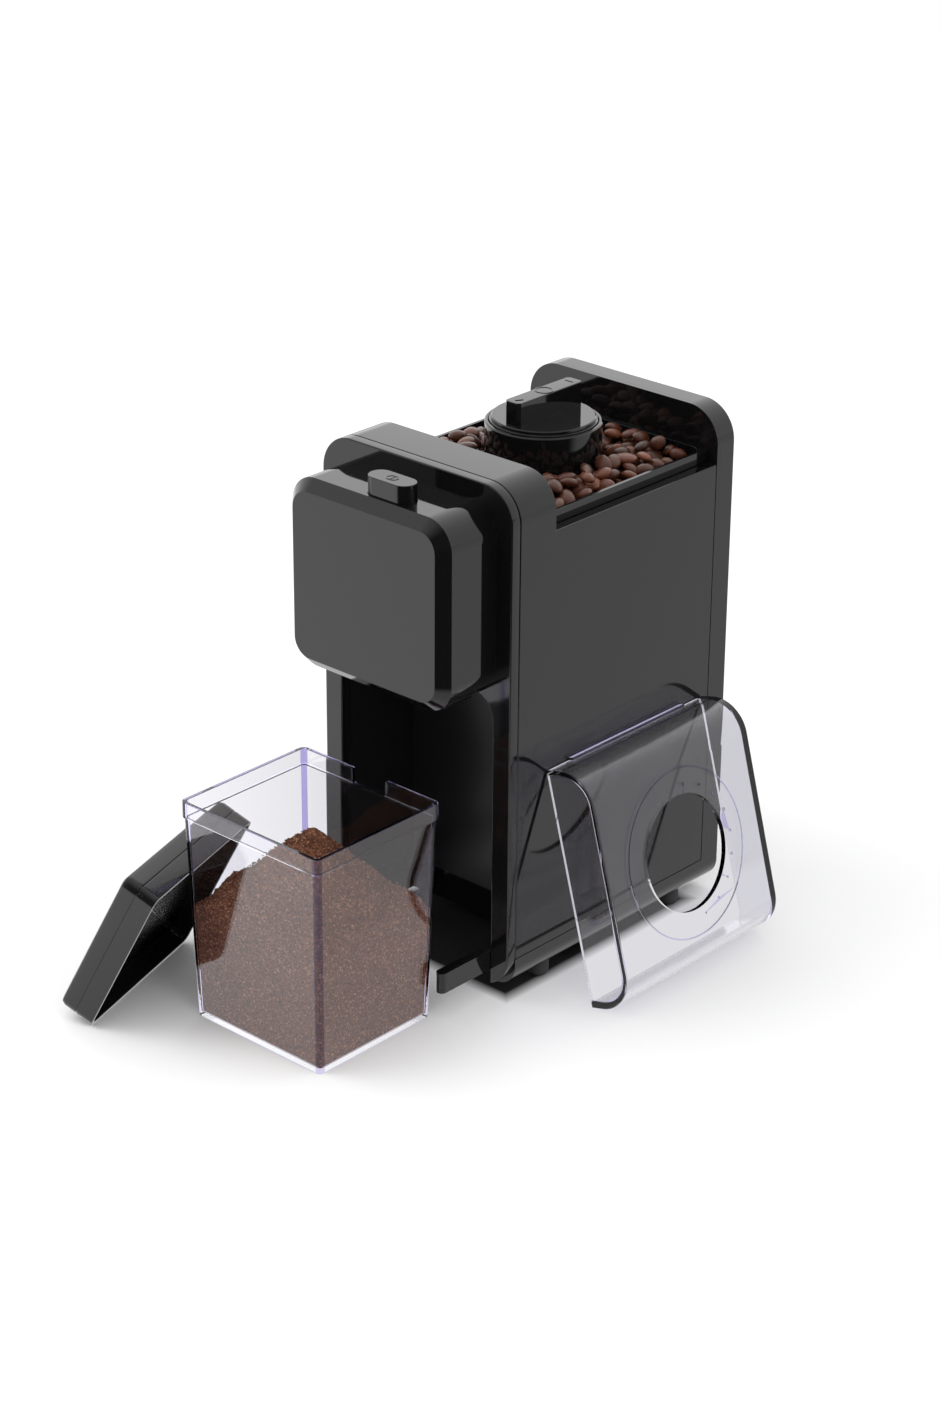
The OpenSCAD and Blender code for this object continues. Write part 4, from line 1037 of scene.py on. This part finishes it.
class GRINDER_OT_grounds(Operator):
    """Heap ground coffee in the container, with crumbs on top"""
    bl_idname = "grinder.grounds"
    bl_label = "Ground coffee"

    def height(self, x, y, sizes):
        """Height of the heap over the container's inside, from its middle outwards."""
        reach = math.hypot(x * 1.02, y * 1.12) / (40 * MM)
        drop = 33 * MM * min(1.0, reach) ** 1.1 + 14 * MM * max(0.0, reach - 1.0)
        return sizes.heap - drop

    def execute(self, context):
        sizes = context.scene.grinder_coffee
        clear = context.scene.grinder_clear
        chance = random.Random(11)
        low, high = box_of("container")
        centre = Vector(((low.x + high.x) / 2, (low.y + high.y) / 2, 0))
        floor = low.z + clear.floor + 0.15 * MM
        inset = clear.wall + CONTAINER_STEP + 0.25 * MM
        half_x, half_y = (high.x - low.x) / 2 - inset, (high.y - low.y) / 2 - inset
        bm = bmesh.new()
        bmesh.ops.create_grid(bm, x_segments=110, y_segments=100, size=0.5)
        for vert in bm.verts:
            x, y = vert.co.x * 2, vert.co.y * 2
            z = self.height(x * half_x, y * half_y, sizes)
            grain = chance.gauss(0, 0.45 * MM)
            wave = 1.6 * MM * math.sin(x * 9 + 1.3) * math.sin(y * 7 + 0.4)
            vert.co = Vector((x, y, z + grain + wave))
        edge_loop = [e for e in bm.edges if e.is_boundary]
        down = bmesh.ops.extrude_edge_only(bm, edges=edge_loop)
        lower = [v for v in down["geom"] if isinstance(v, bmesh.types.BMVert)]
        for vert in lower:
            vert.co.z = floor
        bottom = [e for e in down["geom"] if isinstance(e, bmesh.types.BMEdge)
                  and all(v.co.z == floor for v in e.verts)]
        bmesh.ops.contextual_create(bm, geom=bottom)
        sides = [e for e in bm.edges if abs(e.verts[0].co.z - e.verts[1].co.z) > 30 * MM]
        bmesh.ops.subdivide_edges(bm, edges=sides, cuts=6)
        for vert in bm.verts:
            draw_in = CONTAINER_TAPER * (1 - (vert.co.z - low.z) / (high.z - low.z))
            vert.co.x = centre.x + vert.co.x * (half_x - draw_in)
            vert.co.y = centre.y + vert.co.y * (half_y - draw_in)
        finish_piece("grounds", bm, "grounds", "container", smooth=60.0)
        self.crumbs(sizes, chance, centre, half_x, half_y)
        return {"FINISHED"}

    def crumbs(self, sizes, chance, centre, half_x, half_y):
        """Loose crumbs lying on the heap."""
        bm = bmesh.new()
        for _ in range(900):
            x, y = chance.gauss(0, 0.5) * half_x, chance.gauss(0, 0.5) * half_y
            if abs(x) > half_x - 3.5 * MM or abs(y) > half_y - 3.5 * MM:
                continue
            size = chance.uniform(0.35, 0.85) * MM
            crumb = bmesh.ops.create_icosphere(bm, subdivisions=1, radius=size)
            squash = Vector((1, chance.uniform(0.5, 1), chance.uniform(0.5, 0.9)))
            bmesh.ops.scale(bm, vec=squash, verts=crumb["verts"])
            angle = chance.uniform(0, TURN)
            axis = Vector((chance.random(), chance.random(), 1)).normalized()
            turn = Matrix.Rotation(angle, 3, axis)
            bmesh.ops.rotate(bm, cent=(0, 0, 0), matrix=turn, verts=crumb["verts"])
            z = self.height(x, y, sizes) + chance.uniform(0.2, 1.1) * MM
            bmesh.ops.translate(bm, vec=(centre.x + x, centre.y + y, z), verts=crumb["verts"])
        finish_piece("grounds_crumbs", bm, "grounds", "container", smooth=20.0)


# ---------------------------------------------------------------- inner parts

INNER_FINISHES = {
    "lining": ("container_bay",),
    "inner": ("grounds_chute", "motor_stand", "switch_bracket", "start_switch", "interlock_switch",
              "cooling_fan", "upper_burr_carrier"),
    "red": ("interlock_plunger",),
    "cast": ("grinding_chamber", "motor_lower_cap", "motor_upper_cap", "lower_burr_carrier"),
    "steel": ("motor_can", "lower_bearing", "upper_bearing", "base_screws", "rear_screws", "chamber_screws",
              "motor_shaft", "burr_nut", "dial_spindle", "burr_screws"),
    "burr": ("lower_burr", "upper_burr"),
    "iron": ("armature", "motor_magnets"),
    "copper": ("armature_winding", "commutator", "brush_holders"),
    "rubber": ("chamber_seal", "motor_mounts", "cable_inlet"),
    "board": ("circuit_board",),
}


class GRINDER_OT_inner_parts(Operator):
    """Give the lining, the motor, the burrs and the other inner parts their finishes"""
    bl_idname = "grinder.inner_parts"
    bl_label = "Inner parts"

    def execute(self, context):
        for finish, nodes in INNER_FINISHES.items():
            for node in nodes:
                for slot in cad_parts[node].material_slots:
                    slot.material = MATERIALS[finish]
        return {"FINISHED"}


# ---------------------------------------------------------------- studio


class GRINDER_OT_studio(Operator):
    """Set up the floor, the soft light and the camera"""
    bl_idname = "grinder.studio"
    bl_label = "Studio"

    def execute(self, context):
        self.build_floor()
        self.build_world(context)
        self.build_lights()
        self.build_camera(context)
        context.scene.view_settings.view_transform = "Standard"
        context.scene.view_settings.look = "None"
        return {"FINISHED"}

    def build_floor(self):
        bm = bmesh.new()
        bmesh.ops.create_grid(bm, x_segments=1, y_segments=1, size=12.0)
        mesh = bpy.data.meshes.new("floor")
        bm.to_mesh(mesh)
        bm.free()
        floor = bpy.data.objects.new("floor", mesh)
        bpy.context.collection.objects.link(floor)
        material, tree, shader = new_material("pale_floor")
        place = object_place(tree)
        painted_shadow = self.painted_machine_shadow(tree, place)
        # painted shadow: the floor's colour goes nearly black under the machine, and the same mask darkens the
        # floor's mirrored glow there
        shade = mix_colours(tree, painted_shadow, (0.93, 0.93, 0.93), (0.015, 0.015, 0.015))
        feed(tree, shader, {"Base Color": shade, "Roughness": 0.9, "Specular IOR Level": 0.1})
        # painted reflection: to mirrored rays the floor glows instead, as a white table that ends before the
        # dark of the room, brighter to the front left and dark in the painted shadow under the machine
        near = ramp_node(tree, towards(tree, place, (0.70, -0.71, 0)), ((0.26, 1.0), (0.44, 0.0)))
        front = ramp_node(tree, towards(tree, place, (-0.67, -0.74, 0)), ((0.0, 0.0), (0.25, 1.0)))
        bright = plus(tree, 0.8, times(tree, front, 0.6))
        mirror_glow = times(tree, times(tree, near, bright), minus(tree, 1.0, painted_shadow))
        painted_reflection = feed(tree, add_node(tree, "ShaderNodeEmission"), {"Strength": plus(tree, 0.01, mirror_glow)})
        mirrored = add_node(tree, "ShaderNodeLightPath").outputs["Is Glossy Ray"]
        choose_shader(tree, mirrored, shader.outputs[0], painted_reflection.outputs[0], "Material Output")
        material.cycles.emission_sampling = "NONE"
        mesh.materials.append(material)

    def painted_machine_shadow(self, tree, place):
        """A mask for the painted shadow on the table under the machine: 1 from 8 mm inside its footprint,
        falling to 0 at the footprint's edge.
        """
        low, high = FRAME_LOW, HOUSING_HIGH
        parts = feed(tree, add_node(tree, "ShaderNodeSeparateXYZ"), {0: place})
        beyond = []
        for axis, name in enumerate("XY"):
            centre, half = (low[axis] + high[axis]) / 2, (high[axis] - low[axis]) / 2
            offset = minus(tree, parts.outputs[name], centre)
            beyond.append(minus(tree, math_node(tree, "ABSOLUTE", offset, 0.0), half))
        outside = math_node(tree, "MAXIMUM", *beyond)
        scaled = plus(tree, times(tree, outside, 10.0), 0.5)
        return ramp_node(tree, scaled, ((0.42, 1.0), (0.5, 0.0)))

    def build_world(self, context):
        world = bpy.data.worlds.new("studio")
        world.use_nodes = True
        tree = world.node_tree
        backdrop = feed(tree, tree.nodes["Background"], {"Color": (1, 1, 1), "Strength": 1.05})
        direction = add_node(tree, "ShaderNodeTexCoord").outputs["Generated"]
        behind = towards(tree, direction, (-0.67, 0.74, 0.0))
        glow = ramp_node(tree, plus(tree, times(tree, behind, 0.5), 0.5),
                         ((0.12, 0.02), (0.34, 0.40), (0.62, 0.62), (0.92, 1.0)))
        room = feed(tree, add_node(tree, "ShaderNodeBackground"), {"Strength": times(tree, glow, 2.1)})
        mirrored = add_node(tree, "ShaderNodeLightPath").outputs["Is Glossy Ray"]
        choose_shader(tree, mirrored, backdrop.outputs[0], room.outputs[0], "World Output")
        world.cycles.sampling_method = "NONE"
        context.scene.world = world

    def build_lights(self):
        lamps = (("key", (-0.9, -0.7, 1.5), 1.2, 9.0), ("fill", (1.2, -0.2, 1.1), 1.0, 4.0))
        for name, place, size, power in lamps:
            light = bpy.data.lights.new(name, "AREA")
            light.shape = "DISK"
            light.size = size
            light.energy = power
            lamp = bpy.data.objects.new(name, light)
            lamp.location = place
            aim = Vector((0, 0, 0.1)) - lamp.location
            lamp.rotation_euler = aim.to_track_quat("-Z", "Y").to_euler()
            lamp.visible_glossy = False
            bpy.context.collection.objects.link(lamp)

    def build_camera(self, context):
        azimuth, elevation, roll = math.radians(42.23), math.radians(24.80), math.radians(0.38)
        distance = 1.62481
        target = Vector((BODY_MIDDLE_X - 24.8 * MM, FRAME_HIGH.y + 60 * MM, 107.76 * MM))
        back = Vector((math.sin(azimuth) * math.cos(elevation), -math.cos(azimuth) * math.cos(elevation),
                       math.sin(elevation)))
        data = bpy.data.cameras.new("camera")
        data.sensor_fit = "AUTO"
        data.sensor_width = 36
        data.lens = 83.14
        camera = bpy.data.objects.new("camera", data)
        camera.location = target + distance * back
        level = back.to_track_quat("Z", "Y")
        camera.rotation_euler = (level.to_matrix() @ Matrix.Rotation(roll, 3, "Z")).to_euler()
        context.collection.objects.link(camera)
        context.scene.camera = camera


# ---------------------------------------------------------------- panel and main

STEPS = (GRINDER_OT_studio, GRINDER_OT_inner_parts, GRINDER_OT_casing, GRINDER_OT_head, GRINDER_OT_button,
         GRINDER_OT_dial, GRINDER_OT_feet, GRINDER_OT_container, GRINDER_OT_lid, GRINDER_OT_cover,
         GRINDER_OT_beans, GRINDER_OT_grounds)


class GRINDER_PT_panel(Panel):
    """Lists the steps that build the grinder"""
    bl_label = "Grinder"
    bl_idname = "GRINDER_PT_panel"
    bl_space_type = "VIEW_3D"
    bl_region_type = "UI"
    bl_category = "Grinder"

    def draw(self, context):
        for step in STEPS:
            self.layout.operator(step.bl_idname)


CLASSES = (GrinderShellSizes, GrinderClearSizes, GrinderCoffeeSizes, *STEPS, GRINDER_PT_panel)


def register():
    for cls in CLASSES:
        bpy.utils.register_class(cls)
    bpy.types.Scene.grinder_shells = PointerProperty(type=GrinderShellSizes)
    bpy.types.Scene.grinder_clear = PointerProperty(type=GrinderClearSizes)
    bpy.types.Scene.grinder_coffee = PointerProperty(type=GrinderCoffeeSizes)


def unregister():
    del bpy.types.Scene.grinder_coffee
    del bpy.types.Scene.grinder_clear
    del bpy.types.Scene.grinder_shells
    for cls in reversed(CLASSES):
        bpy.utils.unregister_class(cls)


def main():
    register()
    scene = bpy.context.scene
    build_groups()
    build_materials(scene.grinder_shells, scene.grinder_clear, scene.grinder_coffee)
    for step in STEPS:
        category, name = step.bl_idname.split(".")
        getattr(getattr(bpy.ops, category), name)()


if __name__ == "__main__":
    main()
